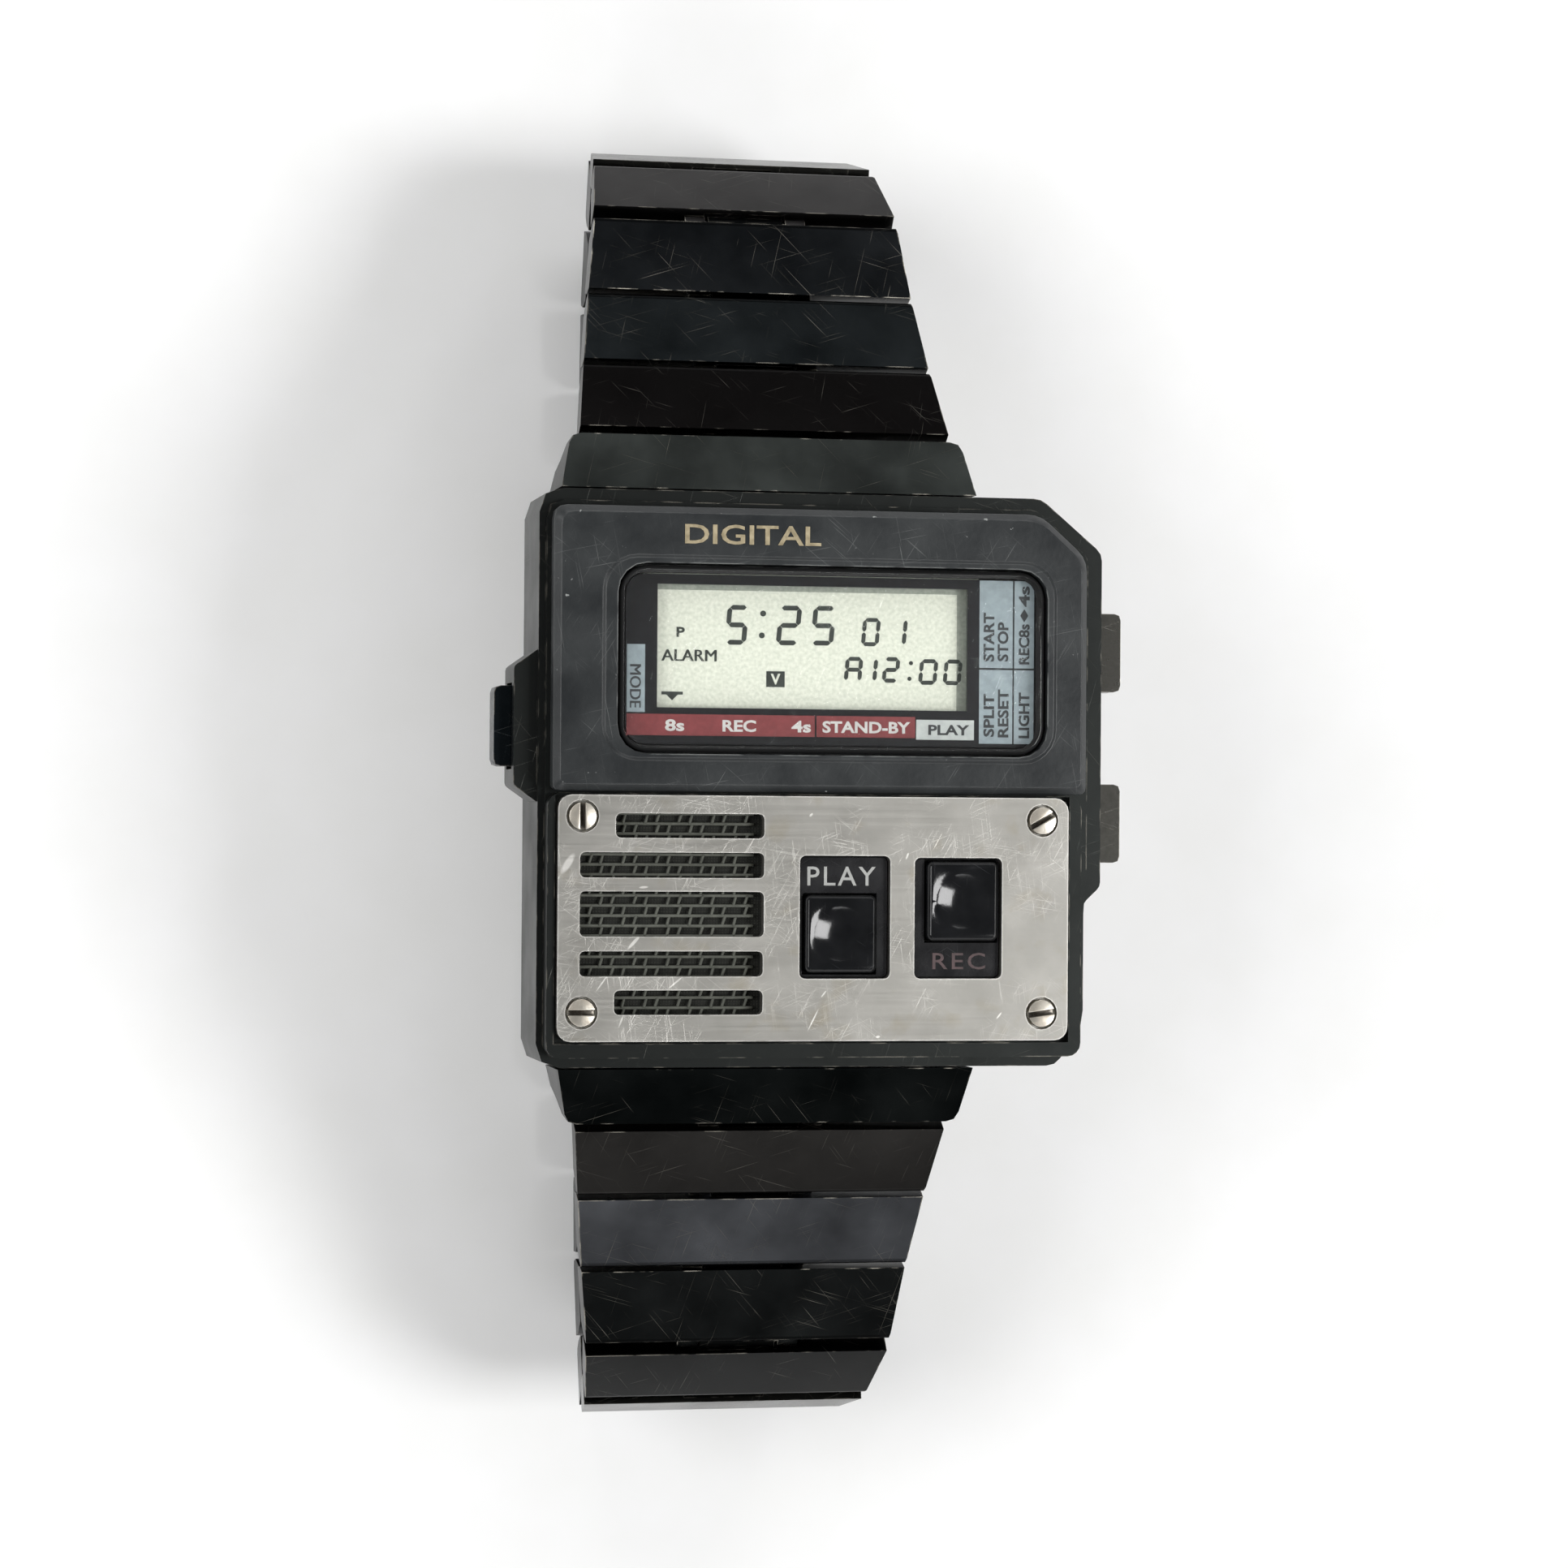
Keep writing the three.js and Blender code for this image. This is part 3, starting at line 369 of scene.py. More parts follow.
# %% Brushed stainless steel
def brushed_steel(name, colour, marks_at, roughness=0.42):
    material, tree, in_mm, shader, _ = new_finish(name)
    drawn_out = {"Vector": in_mm, "Scale": (0.12, 8.0, 8.0)}
    brush = add(tree, "ShaderNodeMapping", drawn_out).outputs[0]
    noise = {"Vector": brush, "Scale": 1.0, "Detail": 4.0}
    grain = add(tree, "ShaderNodeTexNoise", noise).outputs[0]
    cloud = patches(tree, in_mm, 3.2, 0.3, 0.7, 6.0)
    stain = patches(tree, in_mm, 2.4, 0.56, 0.72, 4.0)
    stain = add(tree, "ShaderNodeMath", {0: stain, 1: 0.35}, operation="MULTIPLY").outputs[0]
    fine = scratches(tree, in_mm, (23, 61, 97, 142, 171), 3.5, 0.05, 0.62)
    bright = add(tree, "ShaderNodeMath", {0: fine, 1: 0.5}, operation="MULTIPLY").outputs[0]
    masks = [gouge(tree, in_mm, *mark) for mark in marks_at]
    masks.append(worn_edges(tree, in_mm, 0.18, 0.95))
    for mask in masks:
        bright = add(tree, "ShaderNodeMath", {0: bright, 1: mask}, operation="MAXIMUM").outputs[0]
    tone = linear(colour)
    for mask, over in ((cloud, "#a9a7a1"), (stain, "#a09478"), (bright, "#f4f2ec")):
        tones = {0: mask, 6: tone, 7: linear(over)}
        tone = add(tree, "ShaderNodeMix", tones, data_type="RGBA").outputs[2]
    blur = {"Value": grain, "From Min": 0.3, "From Max": 0.7}
    blur.update({"To Min": roughness - 0.03, "To Max": roughness + 0.04})
    dull = add(tree, "ShaderNodeMapRange", blur).outputs[0]
    lines = add(tree, "ShaderNodeBump", {"Height": grain, "Distance": 0.0018 * MM}).outputs[0]
    cuts = {"Height": fine, "Distance": 0.004 * MM, "Normal": lines}
    normal = add(tree, "ShaderNodeBump", cuts).outputs[0]
    fill(tree, shader, {"Base Color": tone, "Metallic": 1.0, "Roughness": dull, "Normal": normal})
    return material


plate_steel = brushed_steel("brushed_stainless_plate", "#bcbab4", PLATE_GOUGES)
blade_steel = brushed_steel("brushed_stainless_clasp_blades", "#a3a19a", [], 0.34)
back_steel = brushed_steel("brushed_stainless_case_back", "#9c9a94", [], 0.38)

# %% [markdown]
# ## Small metal parts
#
# The screws are nickel plated: a warm white metal, smooth but dinged by the driver. Where
# a slot shuts out the sky its colour is darkened to a dark brown, as painted shade. The
# springs are drawn wire, and the cells and the loudspeaker's can are pressed sheet.


# %% Bright plated or drawn metal
def bright_metal(name, colour, dark, roughness, size, dent=0.01, painted_shade_reach=0.0):
    material, tree, in_mm, shader, _ = new_finish(name)
    cloud = patches(tree, in_mm, size, 0.35, 0.7, 5.0)
    layers = [(cloud, dark), (worn_edges(tree, in_mm, 0.08, 0.7), "#f6f3ea")]
    if painted_shade_reach:
        # Painted shade: the colour turns dark brown where ambient occlusion finds a hollow.
        open_sky = add(
            tree, "ShaderNodeAmbientOcclusion", {"Distance": painted_shade_reach * MM}, samples=8, only_local=True
        ).outputs["AO"]
        window = {"Value": open_sky, "From Min": 0.93, "From Max": 0.70}
        layers.append((add(tree, "ShaderNodeMapRange", window).outputs[0], "#1c1713"))
    tone = linear(colour)
    for mask, over in layers:
        tones = {0: mask, 6: tone, 7: linear(over)}
        tone = add(tree, "ShaderNodeMix", tones, data_type="RGBA").outputs[2]
    blur = {"Value": cloud, "To Min": roughness, "To Max": roughness + 0.16}
    dull = add(tree, "ShaderNodeMapRange", blur).outputs[0]
    normal = add(tree, "ShaderNodeBump", {"Height": cloud, "Distance": dent * MM}).outputs[0]
    fill(tree, shader, {"Base Color": tone, "Metallic": 1.0, "Roughness": dull, "Normal": normal})
    return material


screw_nickel = bright_metal("nickel_plated_screws", "#ebe5d8", "#bdb4a6", 0.34, 0.7, 0.012, 0.35)
can_nickel = bright_metal("nickel_plated_cans", "#b9b6ae", "#8f8c86", 0.30, 1.8)
spring_wire = bright_metal("drawn_spring_wire", "#8e8c88", "#6a6865", 0.32, 0.5)

# %% [markdown]
# ## Moulded plastics and rubber
#
# The two caps on the front and the well they sit in are gloss black ABS. A mould leaves
# ABS smooth, with a refractive index near 1.53, and years of thumbs leave faint hairlines.
# Inside parts are duller mouldings, the gaskets are rubber and the board is glass epoxy.


# %% Moulded plastic
def moulded_plastic(name, colour, roughness, index, texture):
    material, tree, in_mm, shader, _ = new_finish(name)
    cloud = patches(tree, in_mm, 1.8, 0.3, 0.75, 4.0)
    marks = scratches(tree, in_mm, (31, 88, 149), 2.5, 0.05, 0.3)
    faint = add(tree, "ShaderNodeMath", {0: marks, 1: 0.25}, operation="MULTIPLY").outputs[0]
    paler = tuple(min(1.0, c * 1.5 + 0.003) for c in linear(colour)[:3]) + (1,)
    tones = {0: cloud, 6: linear(colour), 7: paler}
    tone = add(tree, "ShaderNodeMix", tones, data_type="RGBA").outputs[2]
    tones = {0: faint, 6: tone, 7: linear("#6d6f70")}
    tone = add(tree, "ShaderNodeMix", tones, data_type="RGBA").outputs[2]
    blur = {"Value": cloud, "To Min": roughness, "To Max": roughness + 0.1}
    dull = add(tree, "ShaderNodeMapRange", blur).outputs[0]
    noise = {"Vector": in_mm, "Scale": 5.0, "Detail": 3.0}
    grain = add(tree, "ShaderNodeTexNoise", noise).outputs[0]
    normal = add(tree, "ShaderNodeBump", {"Height": grain, "Distance": texture * MM}).outputs[0]
    fill(tree, shader, {"Base Color": tone, "IOR": index, "Roughness": dull, "Normal": normal})
    return material


cap_gloss = moulded_plastic("gloss_abs_button_caps", "#0d0e10", 0.07, 1.53, 0.002)
well_gloss = moulded_plastic("gloss_abs_button_well", "#141416", 0.22, 1.53, 0.006)
dull_moulding = moulded_plastic("moulded_pbt_module", "#1b1c1e", 0.50, 1.55, 0.02)
chip_epoxy = moulded_plastic("moulded_epoxy_chip", "#202122", 0.55, 1.56, 0.02)
gasket_rubber = moulded_plastic("nitrile_rubber_gaskets", "#131313", 0.70, 1.52, 0.03)


# %% Solder mask over copper tracks, drawn 0.9 mm apart
def solder_mask(name):
    material, tree, in_mm, shader, _ = new_finish(name)
    layout = {
        "Vector": in_mm,
        "Color1": linear("#1f4a2c"),
        "Color2": linear("#23532f"),
        "Mortar": linear("#3a7a45"),
        "Scale": 1.0,
        "Mortar Size": 0.06,
        "Brick Width": 2.6,
        "Row Height": 0.9,
    }
    tone, tracks = add(tree, "ShaderNodeTexBrick", layout).outputs[:2]
    normal = add(tree, "ShaderNodeBump", {"Height": tracks, "Distance": 0.03 * MM}).outputs[0]
    fill(tree, shader, {"Base Color": tone, "Roughness": 0.35, "Normal": normal})
    return material


# %% Striped rubber that links the board to the display
def striped_connector(name):
    material, tree, in_mm, shader, _ = new_finish(name)
    # A wave repeats each 2 pi / 20 of its scaled input, so this draws a layer each 0.2 mm.
    wave = {"Vector": in_mm, "Scale": 5 / math.pi}
    stripes = add(tree, "ShaderNodeTexWave", wave).outputs["Fac"]
    tones = {0: stripes, 6: linear("#d8cfc2"), 7: linear("#2a2a2c")}
    tone = add(tree, "ShaderNodeMix", tones, data_type="RGBA").outputs[2]
    normal = add(tree, "ShaderNodeBump", {"Height": stripes, "Distance": 0.01 * MM}).outputs[0]
    fill(tree, shader, {"Base Color": tone, "Roughness": 0.6, "Normal": normal})
    return material


# %% Black cloth, its threads drawn 0.2 mm apart
def woven_cloth(name):
    material, tree, in_mm, shader, _ = new_finish(name)
    thread = 1.0
    for way in "XY":
        wave = {"Vector": in_mm, "Scale": 1.6}
        band = add(tree, "ShaderNodeTexWave", wave, bands_direction=way).outputs["Fac"]
        thread = add(tree, "ShaderNodeMath", {0: thread, 1: band}, operation="MULTIPLY").outputs[0]
    tones = {0: thread, 6: linear("#1b1c18"), 7: linear("#31322c")}
    tone = add(tree, "ShaderNodeMix", tones, data_type="RGBA").outputs[2]
    normal = add(tree, "ShaderNodeBump", {"Height": thread, "Distance": 0.03 * MM}).outputs[0]
    fill(tree, shader, {"Base Color": tone, "Roughness": 0.85, "Normal": normal})
    return material


cloth_black = woven_cloth("woven_dust_cloth")
board_green = solder_mask("solder_masked_glass_epoxy")
zebra_rubber = striped_connector("layered_silicone_connector")

# %% [markdown]
# ## The crystal
#
# The crystal is a flat pane of mineral glass, index 1.52. Light has to reach the display
# under it, and a path tracer finds that slow through real glass, so for shadow rays alone
# the pane is clear. Its hairlines show as faint changes of roughness. Its ground sides are
# blackened, as on the real pane, so that they don't gleam where the bezel holds them.


# %% Mineral glass
def mineral_glass(name):
    material, tree, in_mm, shader, output = new_finish(name)
    marks = scratches(tree, in_mm, (15, 66, 118, 155), 5.0, 0.05, 0.45)
    blur = {"Value": marks, "To Min": 0.0, "To Max": 0.12}
    dull = add(tree, "ShaderNodeMapRange", blur).outputs[0]
    normal = add(tree, "ShaderNodeBump", {"Height": marks, "Distance": 0.002 * MM}).outputs[0]
    fill(tree, shader, {"Base Color": (1, 1, 1, 1), "Transmission Weight": 1.0, "IOR": 1.52})
    fill(tree, shader, {"Roughness": dull, "Normal": normal})
    shadow = add(tree, "ShaderNodeLightPath").outputs["Is Shadow Ray"]
    clear = add(tree, "ShaderNodeBsdfTransparent", {"Color": (0.96, 0.97, 0.96, 1)})
    pane = {0: shadow, 1: shader.outputs[0], 2: clear.outputs[0]}
    pane = add(tree, "ShaderNodeMixShader", pane).outputs[0]
    facing = add(tree, "ShaderNodeNewGeometry").outputs["True Normal"]
    height = add(tree, "ShaderNodeSeparateXYZ", {0: facing}).outputs["Z"]
    steep = add(tree, "ShaderNodeMath", {0: height}, operation="ABSOLUTE").outputs[0]
    side = add(tree, "ShaderNodeMath", {0: steep, 1: 0.97}, operation="LESS_THAN").outputs[0]
    paint = {"Base Color": linear("#08090a"), "Roughness": 0.7}
    black = add(tree, "ShaderNodeBsdfPrincipled", paint).outputs[0]
    edged = add(tree, "ShaderNodeMixShader", {0: side, 1: pane, 2: black}).outputs[0]
    fill(tree, output, {"Surface": edged})
    return material


crystal_glass = mineral_glass("mineral_glass_crystal")

# %% [markdown]
# ## The display
#
# A liquid crystal display is a sandwich of glass over a silvery green-grey reflector with
# a fine speckle. It is drawn here as a matt cream with a grain of about 0.25 mm, a little
# coarser than the real one so that it shows.


# %% Reflective display glass
def display_reflector(name, colour, speck):
    material, tree, in_mm, shader, _ = new_finish(name)
    noise = {"Vector": in_mm, "Scale": 4.0, "Detail": 3.0}
    grain = add(tree, "ShaderNodeTexNoise", noise).outputs[0]
    window = {"Value": grain, "From Min": 0.35, "From Max": 0.65}
    sharp = add(tree, "ShaderNodeMapRange", window).outputs[0]
    tones = {0: sharp, 6: linear(colour), 7: linear(speck)}
    tone = add(tree, "ShaderNodeMix", tones, data_type="RGBA").outputs[2]
    normal = add(tree, "ShaderNodeBump", {"Height": grain, "Distance": 0.02 * MM}).outputs[0]
    fill(tree, shader, {"Base Color": tone, "Roughness": 0.5, "Normal": normal})
    return material


display_cream = display_reflector("reflective_display_glass", "#afb2a5", "#c0c3b6")
# A darker display tone, painted as the shadow that the mask's edge casts on the glass
display_shadow_tone = display_reflector("display_glass_painted_shadow", "#767b72", "#858a80")

# %% [markdown]
# ## Inks
#
# Screen printing lays ink some hundredths of a millimetre thick. It is matt and slightly
# uneven, so each ink is two close tones in soft patches of half a millimetre. The lacquer
# on the woven wire and the display's darkened crystal are drawn the same way.


# %% Screen-printing ink, lacquer and the display's dark crystal
def printed_ink(name, colour, paler, roughness=0.45):
    material, tree, in_mm, shader, _ = new_finish(name)
    cloud = patches(tree, in_mm, 0.5, 0.35, 0.7, 4.0)
    tones = {0: cloud, 6: linear(colour), 7: linear(paler)}
    tone = add(tree, "ShaderNodeMix", tones, data_type="RGBA").outputs[2]
    normal = add(tree, "ShaderNodeBump", {"Height": cloud, "Distance": 0.003 * MM}).outputs[0]
    fill(tree, shader, {"Base Color": tone, "Roughness": roughness, "Normal": normal})
    return material


mesh_wire = printed_ink("grey_lacquer_on_woven_wire", "#54564f", "#63655d", 0.75)
mask_black = printed_ink("black_printed_film", "#08080a", "#101114", 0.30)
ink_grey = printed_ink("grey_blue_ink", "#727d82", "#7d898d")
ink_red = printed_ink("red_ink", "#5d1a1c", "#682225")
ink_pale = printed_ink("pale_grey_ink", "#959a98", "#a0a5a2")
ink_white = printed_ink("white_ink", "#a2a3a0", "#adaeab")
ink_black = printed_ink("black_ink", "#15181a", "#24282b")
ink_dull_red = printed_ink("dull_red_ink", "#574546", "#433838")
ink_brass = printed_ink("pale_brass_ink", "#b0a386", "#8a7e64", 0.35)
crystal_dark = printed_ink("darkened_liquid_crystal", "#1c211d", "#2a302b", 0.4)

# %% [markdown]
# ## Dressing the frame
#
# Each node of the frame now gets the finish of the real part. The nodes come as plain
# facets, so modifiers follow: they merge the facets' corners, join the facets of each
# flat, round the sharp edges by a few hundredths of a millimetre, as tumbling does, and
# shade shallow angles smooth. The frame's own shapes stay as they are.

# %% Which node has which finish
FINISHES = {
    "case_middle": case_black,
    "case_back": back_steel,
    "case_back_gasket": gasket_rubber,
    "bezel": bezel_enamel,
    "crystal": crystal_glass,
    "crystal_gasket": gasket_rubber,
    "display_mask": mask_black,
    "lcd_panel": display_cream,
    "connector_strip": zebra_rubber,
    "module_frame": dull_moulding,
    "circuit_board": board_green,
    "voice_chip": chip_epoxy,
    "battery_holder": dull_moulding,
    "battery_left": can_nickel,
    "battery_right": can_nickel,
    "speaker_plate": plate_steel,
    "speaker_mesh": mesh_wire,
    "speaker_unit": dull_moulding,
    "button_housing": well_gloss,
    "play_button": cap_gloss,
    "record_button": cap_gloss,
    "mode_button": mode_black,
    "start_button": pusher_grey,
    "reset_button": pusher_grey,
    "clasp_inner_blade": blade_steel,
    "clasp_middle_blade": blade_steel,
    "clasp_cover": clasp_black,
}
for name, node in nodes.items():
    if name.startswith(("plate_screw", "case_back_screw")):
        FINISHES[name] = screw_nickel
    if name.endswith("_spring"):
        FINISHES[name] = spring_wire
    if "_link_" in name and name not in BAND_LIT_TONES:
        FINISHES[name] = band_black
for name, finish in FINISHES.items():
    nodes[name].data.materials[0] = finish
print("dressed", len(FINISHES) + len(BAND_LIT_TONES), "of", len(nodes), "nodes")


# %% Smooth shading below a given angle, as a small geometry graph
def smooth_shading(angle):
    group = bpy.data.node_groups.new("smooth_below_angle", "GeometryNodeTree")
    group.interface.new_socket("Geometry", in_out="INPUT", socket_type="NodeSocketGeometry")
    group.interface.new_socket("Geometry", in_out="OUTPUT", socket_type="NodeSocketGeometry")
    entry = add(group, "NodeGroupInput")
    turn = add(group, "GeometryNodeInputMeshEdgeAngle").outputs["Unsigned Angle"]
    sharp = add(
        group, "FunctionNodeCompare", {0: turn, 1: math.radians(angle)}, operation="GREATER_THAN"
    ).outputs[0]
    bare = add(group, "GeometryNodeSetMeshNormal", {"Mesh": entry.outputs[0]}, mode="SHARPNESS")
    bare.inputs["Remove Custom"].default_value = True
    group.links.new(sharp, bare.inputs["Edge Sharpness"])
    add(group, "NodeGroupOutput", {0: bare.outputs[0]})
    return group


smooth_35 = smooth_shading(35)
print("shading graph", smooth_35.name, len(smooth_35.nodes), "nodes")


# %% Round a node's edges and smooth its curves
def tumble(node, width, curved=False):
    weld = node.modifiers.new("merge_corners", "WELD")
    weld.merge_threshold = 1e-6
    if not curved:
        flat = node.modifiers.new("merge_flat_facets", "DECIMATE")
        flat.decimate_type = "DISSOLVE"
        flat.angle_limit = math.radians(0.3)
    if width:
        edge = node.modifiers.new("rounded_edges", "BEVEL")
        edge.width = width * MM
        edge.segments = 2
        edge.limit_method = "ANGLE"
        edge.angle_limit = math.radians(30)
        edge.miter_outer = "MITER_ARC"
    shade = node.modifiers.new("smooth_shading", "NODES")
    shade.node_group = smooth_35
    if not curved:
        even = node.modifiers.new("even_flats", "WEIGHTED_NORMAL")
        even.keep_sharp = True
        even.weight = 100


# %% How much each node was rounded, in millimetres
ROUNDING = {
    "case_middle": 0.10,
    "bezel": 0.06,
    "speaker_plate": 0.05,
    "button_housing": 0.05,
    "play_button": 0.06,
    "record_button": 0.06,
    "mode_button": 0.10,
    "start_button": 0.08,
    "reset_button": 0.08,
    "upper_end_piece": 0.10,
    "lower_end_piece": 0.10,
    "clasp_cover": 0.12,
    "clasp_inner_blade": 0.06,
    "clasp_middle_blade": 0.06,
    "case_back": 0.08,
    "crystal": 0.05,
}
for name, node in nodes.items():
    width = ROUNDING.get(name, 0.0)
    if "_link_" in name:
        width = 0.05
    if "_screw_" in name:
        width = 0.04
    tumble(node, width, curved=name in ("play_button", "record_button"))
print("rounded", sum(1 for n in nodes.values() if "rounded_edges" in n.modifiers))

# %% [markdown]
# ## The woven wire
#
# Behind the slots is a twill of lacquered wire. A twill's cross wires pass over two of the
# long wires and under one, and each row starts one step further along, so the openings
# read as long and short bricks that climb sideways. The wires are real tubes along a wave,
# because a printed pattern would look flat through the slots. They take the place of the
# frame's plain sheet, and the third of each cross wire that hides behind is left out.


# %% A round tube along a row of points
def tube(mesh, points, radius, sides=6, level=Vector((0, 0, 1))):
    rings = []
    for i, point in enumerate(points):
        ahead = points[min(i + 1, len(points) - 1)] - points[max(i - 1, 0)]
        ahead.normalize()
        side = ahead.cross(level).normalized()
        over = side.cross(ahead)
        ring = []
        for k in range(sides):
            turn = 2 * math.pi * k / sides
            out = side * math.cos(turn) + over * math.sin(turn)
            ring.append(mesh.verts.new(point + radius * out))
        rings.append(ring)
    for a, b in zip(rings, rings[1:]):
        for k in range(sides):
            mesh.faces.new((a[k], a[(k + 1) % sides], b[(k + 1) % sides], b[k]))
    mesh.faces.new(list(reversed(rings[0])))
    mesh.faces.new(rings[-1])


# %% Finish a mesh, give it its material and let it ride on a body
def piece(name, mesh, finish, body="case", smooth=False):
    data = bpy.data.meshes.new(name)
    bmesh.ops.recalc_face_normals(mesh, faces=mesh.faces)
    mesh.to_mesh(data)
    mesh.free()
    thing = bpy.data.objects.new(name, data)
    bpy.context.scene.collection.objects.link(thing)
    data.materials.append(finish)
    for face in data.polygons:
        face.use_smooth = smooth
    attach(thing, body)
    print(name, len(data.polygons), "faces")
    return thing


# %% A thin prism on an outline
def slab(mesh, outline, z, thickness):
    bottom = [mesh.verts.new(Vector((x, y, z)) * MM) for x, y in outline]
    top = [mesh.verts.new(Vector((x, y, z + thickness)) * MM) for x, y in outline]
    count = len(outline)
    mesh.faces.new(list(reversed(bottom)))
    mesh.faces.new(top)
    for i in range(count):
        j = (i + 1) % count
        mesh.faces.new((bottom[i], bottom[j], top[j], top[i]))


# %% The weave's sizes in millimetres
WIRE = 0.115  # radius of a long wire
WAVE = 0.05  # how far a wire rises and falls as it passes over and under
ROW = 0.67  # from one long wire to the next
THIRD = 0.74  # from one cross wire to the next
LEAN = 0.2  # how far a cross wire moves sideways over one row
RIM = 0.15  # from the sheet's edge to the first wire
low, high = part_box("speaker_mesh")
low, high = low / MM, high / MM
middle = high.z - WIRE - WAVE - 0.01
rows = math.floor((high.y - low.y - 2 * RIM) / ROW)
posts = math.floor((high.x - low.x - 2 * RIM) / THIRD)
print("weave", rows + 1, "long wires,", posts, "places for cross wires")

# %% Weave the wires
weave = bmesh.new()
for r in range(rows + 1):
    y = low.y + RIM + r * ROW
    points = []
    for s in range(posts * 2 + 1):
        x = low.x + RIM + s * THIRD / 2
        lift = WAVE * math.cos(math.pi * (s / 2 + r))
        points.append(Vector((x, y, middle + lift)) * MM)
    tube(weave, points, WIRE * MM)
    if r == rows:
        continue
    for p in range(posts):
        if (p + r) % 3 == 0:
            continue
        x = low.x + 2 * RIM + p * THIRD
        post = []
        for k in range(5):
            lift = WAVE * math.cos(math.pi * (k / 4 + p))
            post.append(Vector((x + LEAN * k / 4, y + k * ROW / 4, middle + lift)) * MM)
        tube(weave, post, WIRE * 0.85 * MM)
woven = piece("speaker_weave", weave, mesh_wire, smooth=True)
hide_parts("speaker_mesh")

# %% A dust cloth behind the wires
cloth = bmesh.new()
slab(
    cloth,
    [(low.x, low.y), (high.x, low.y), (high.x, high.y), (low.x, high.y)],
    low.z + 0.005,
    0.04,
)
dust_cloth = piece("speaker_dust_cloth", cloth, cloth_black)

# %% [markdown]
# ## The button springs
#
# Each button stands on a small coil spring that the thumb squeezes. The frame's springs
# are stiff stand-ins, so each is wound again here in round wire, 20 steps to the turn. It
# stays with the case.


# %% Wind a spring in the place of its button's stand-in
def wind_spring(button, along, turns, wire):
    node = button + "_spring"
    low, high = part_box(node)
    half = abs(along.dot(high - low)) / 2
    foot = (low + high) / 2 - along * half
    across = along.orthogonal().normalized()
    over = along.cross(across)
    radius = abs(across.dot(high - low)) / 2 - wire * MM
    rise = 2 * (half - wire * MM)
    steps = round(20 * turns)
    points = []
    for i in range(steps + 1):
        turn = 2 * math.pi * turns * i / steps
        ring = radius * (across * math.cos(turn) + over * math.sin(turn))
        points.append(foot + along * (wire * MM + rise * i / steps) + ring)
    coil = bmesh.new()
    tube(coil, points, wire * MM, sides=8, level=along)
    wound = piece(button + "_coil_spring", coil, spring_wire, smooth=True)
    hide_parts(node)
    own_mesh(wound)


wind_spring("play", Vector((0, 0, 1)), 2.0, 0.15)
wind_spring("record", Vector((0, 0, 1)), 2.0, 0.15)
wind_spring("mode", Vector((-1, 0, 0)), 1.5, 0.12)
wind_spring("start", Vector((1, 0, 0)), 1.5, 0.12)
wind_spring("reset", Vector((1, 0, 0)), 1.5, 0.12)

# %% [markdown]
# ## Figures made of segments
#
# A figure on the display is up to seven bars. Each bar is a thin prism with pointed ends,
# so that neighbours meet in a mitre with a small gap. The whole figure leans to the right
# by a few degrees. The bars are two hundredths of a millimetre thick and lie on the glass.

# %% Which bars make which figure
SEGMENTS = {
    "0": "abcdef",
    "1": "bc",
    "2": "abged",
    "5": "afgcd",
    "A": "abcefg",
}


# %% One figure in a box, leaning
def figure(mesh, sign, x0, x1, y0, y1, bar, z, lean=0.09):
    width = (x1 - x0) - lean * (y1 - y0)
    half, mid, gap = bar / 2, (y0 + y1) / 2, bar * 0.05

    def put(points):
        slab(mesh, [(x0 + x + lean * (y - y0), y) for x, y in points], z, 0.02)

    def across(y):
        a, b = half + gap, width - half - gap
        ends = [(a, y), (a + half, y - half), (b - half, y - half)]
        put(ends + [(b, y), (b - half, y + half), (a + half, y + half)])

    def upright(x, low, high):
        a, b = low + gap, high - gap
        ends = [(x, a), (x + half, a + half), (x + half, b - half)]
        put(ends + [(x, b), (x - half, b - half), (x - half, a + half)])

    for part in SEGMENTS[sign]:
        if part in "agd":
            across({"a": y1 - half, "g": mid, "d": y0 + half}[part])
        else:
            x = width - half if part in "bc" else half
            ends = (mid, y1 - half) if part in "bf" else (y0 + half, mid)
            upright(x, *ends)


# %% A round dot, such as a colon's
def dot(mesh, x, y, radius, z):
    turns = [2 * math.pi * k / 12 for k in range(12)]
    slab(mesh, [(x + radius * math.cos(t), y + radius * math.sin(t)) for t in turns], z, 0.02)


# %% The time, the date and the alarm time
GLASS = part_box("lcd_panel")[1].z / MM + 0.004
shown = bmesh.new()
for sign, x0, x1, y0, y1, bar in [
    ("5", -3.26, -1.58, 8.86, 11.48, 0.32),
    ("2", 0.20, 1.98, 8.88, 11.50, 0.32),
    ("5", 2.52, 4.30, 8.90, 11.52, 0.32),
    ("0", 5.95, 7.32, 8.90, 10.78, 0.27),
    ("1", 7.90, 9.16, 8.92, 10.80, 0.27),
    ("A", 4.80, 6.14, 6.48, 8.18, 0.27),
    ("1", 5.98, 7.16, 6.48, 8.18, 0.27),
    ("2", 7.38, 8.66, 6.50, 8.20, 0.27),
    ("0", 9.86, 11.26, 6.40, 8.10, 0.27),
    ("0", 11.54, 12.92, 6.40, 8.10, 0.27),
]:
    figure(shown, sign, x0, x1, y0, y1, bar, GLASS)
COLONS = [(-0.66, 10.95, 0.2), (-0.74, 9.5, 0.2), (9.38, 7.82, 0.14), (9.28, 6.78, 0.14)]
for x, y, radius in COLONS:
    dot(shown, x, y, radius, GLASS)
slab(shown, [(-7.43, 5.52), (-6.0, 5.52), (-6.0, 5.72), (-7.43, 5.72)], GLASS, 0.02)
slab(shown, [(-7.1, 5.52), (-6.72, 5.14), (-6.34, 5.52)], GLASS, 0.02)
figures = piece("display_figures", shown, crystal_dark)

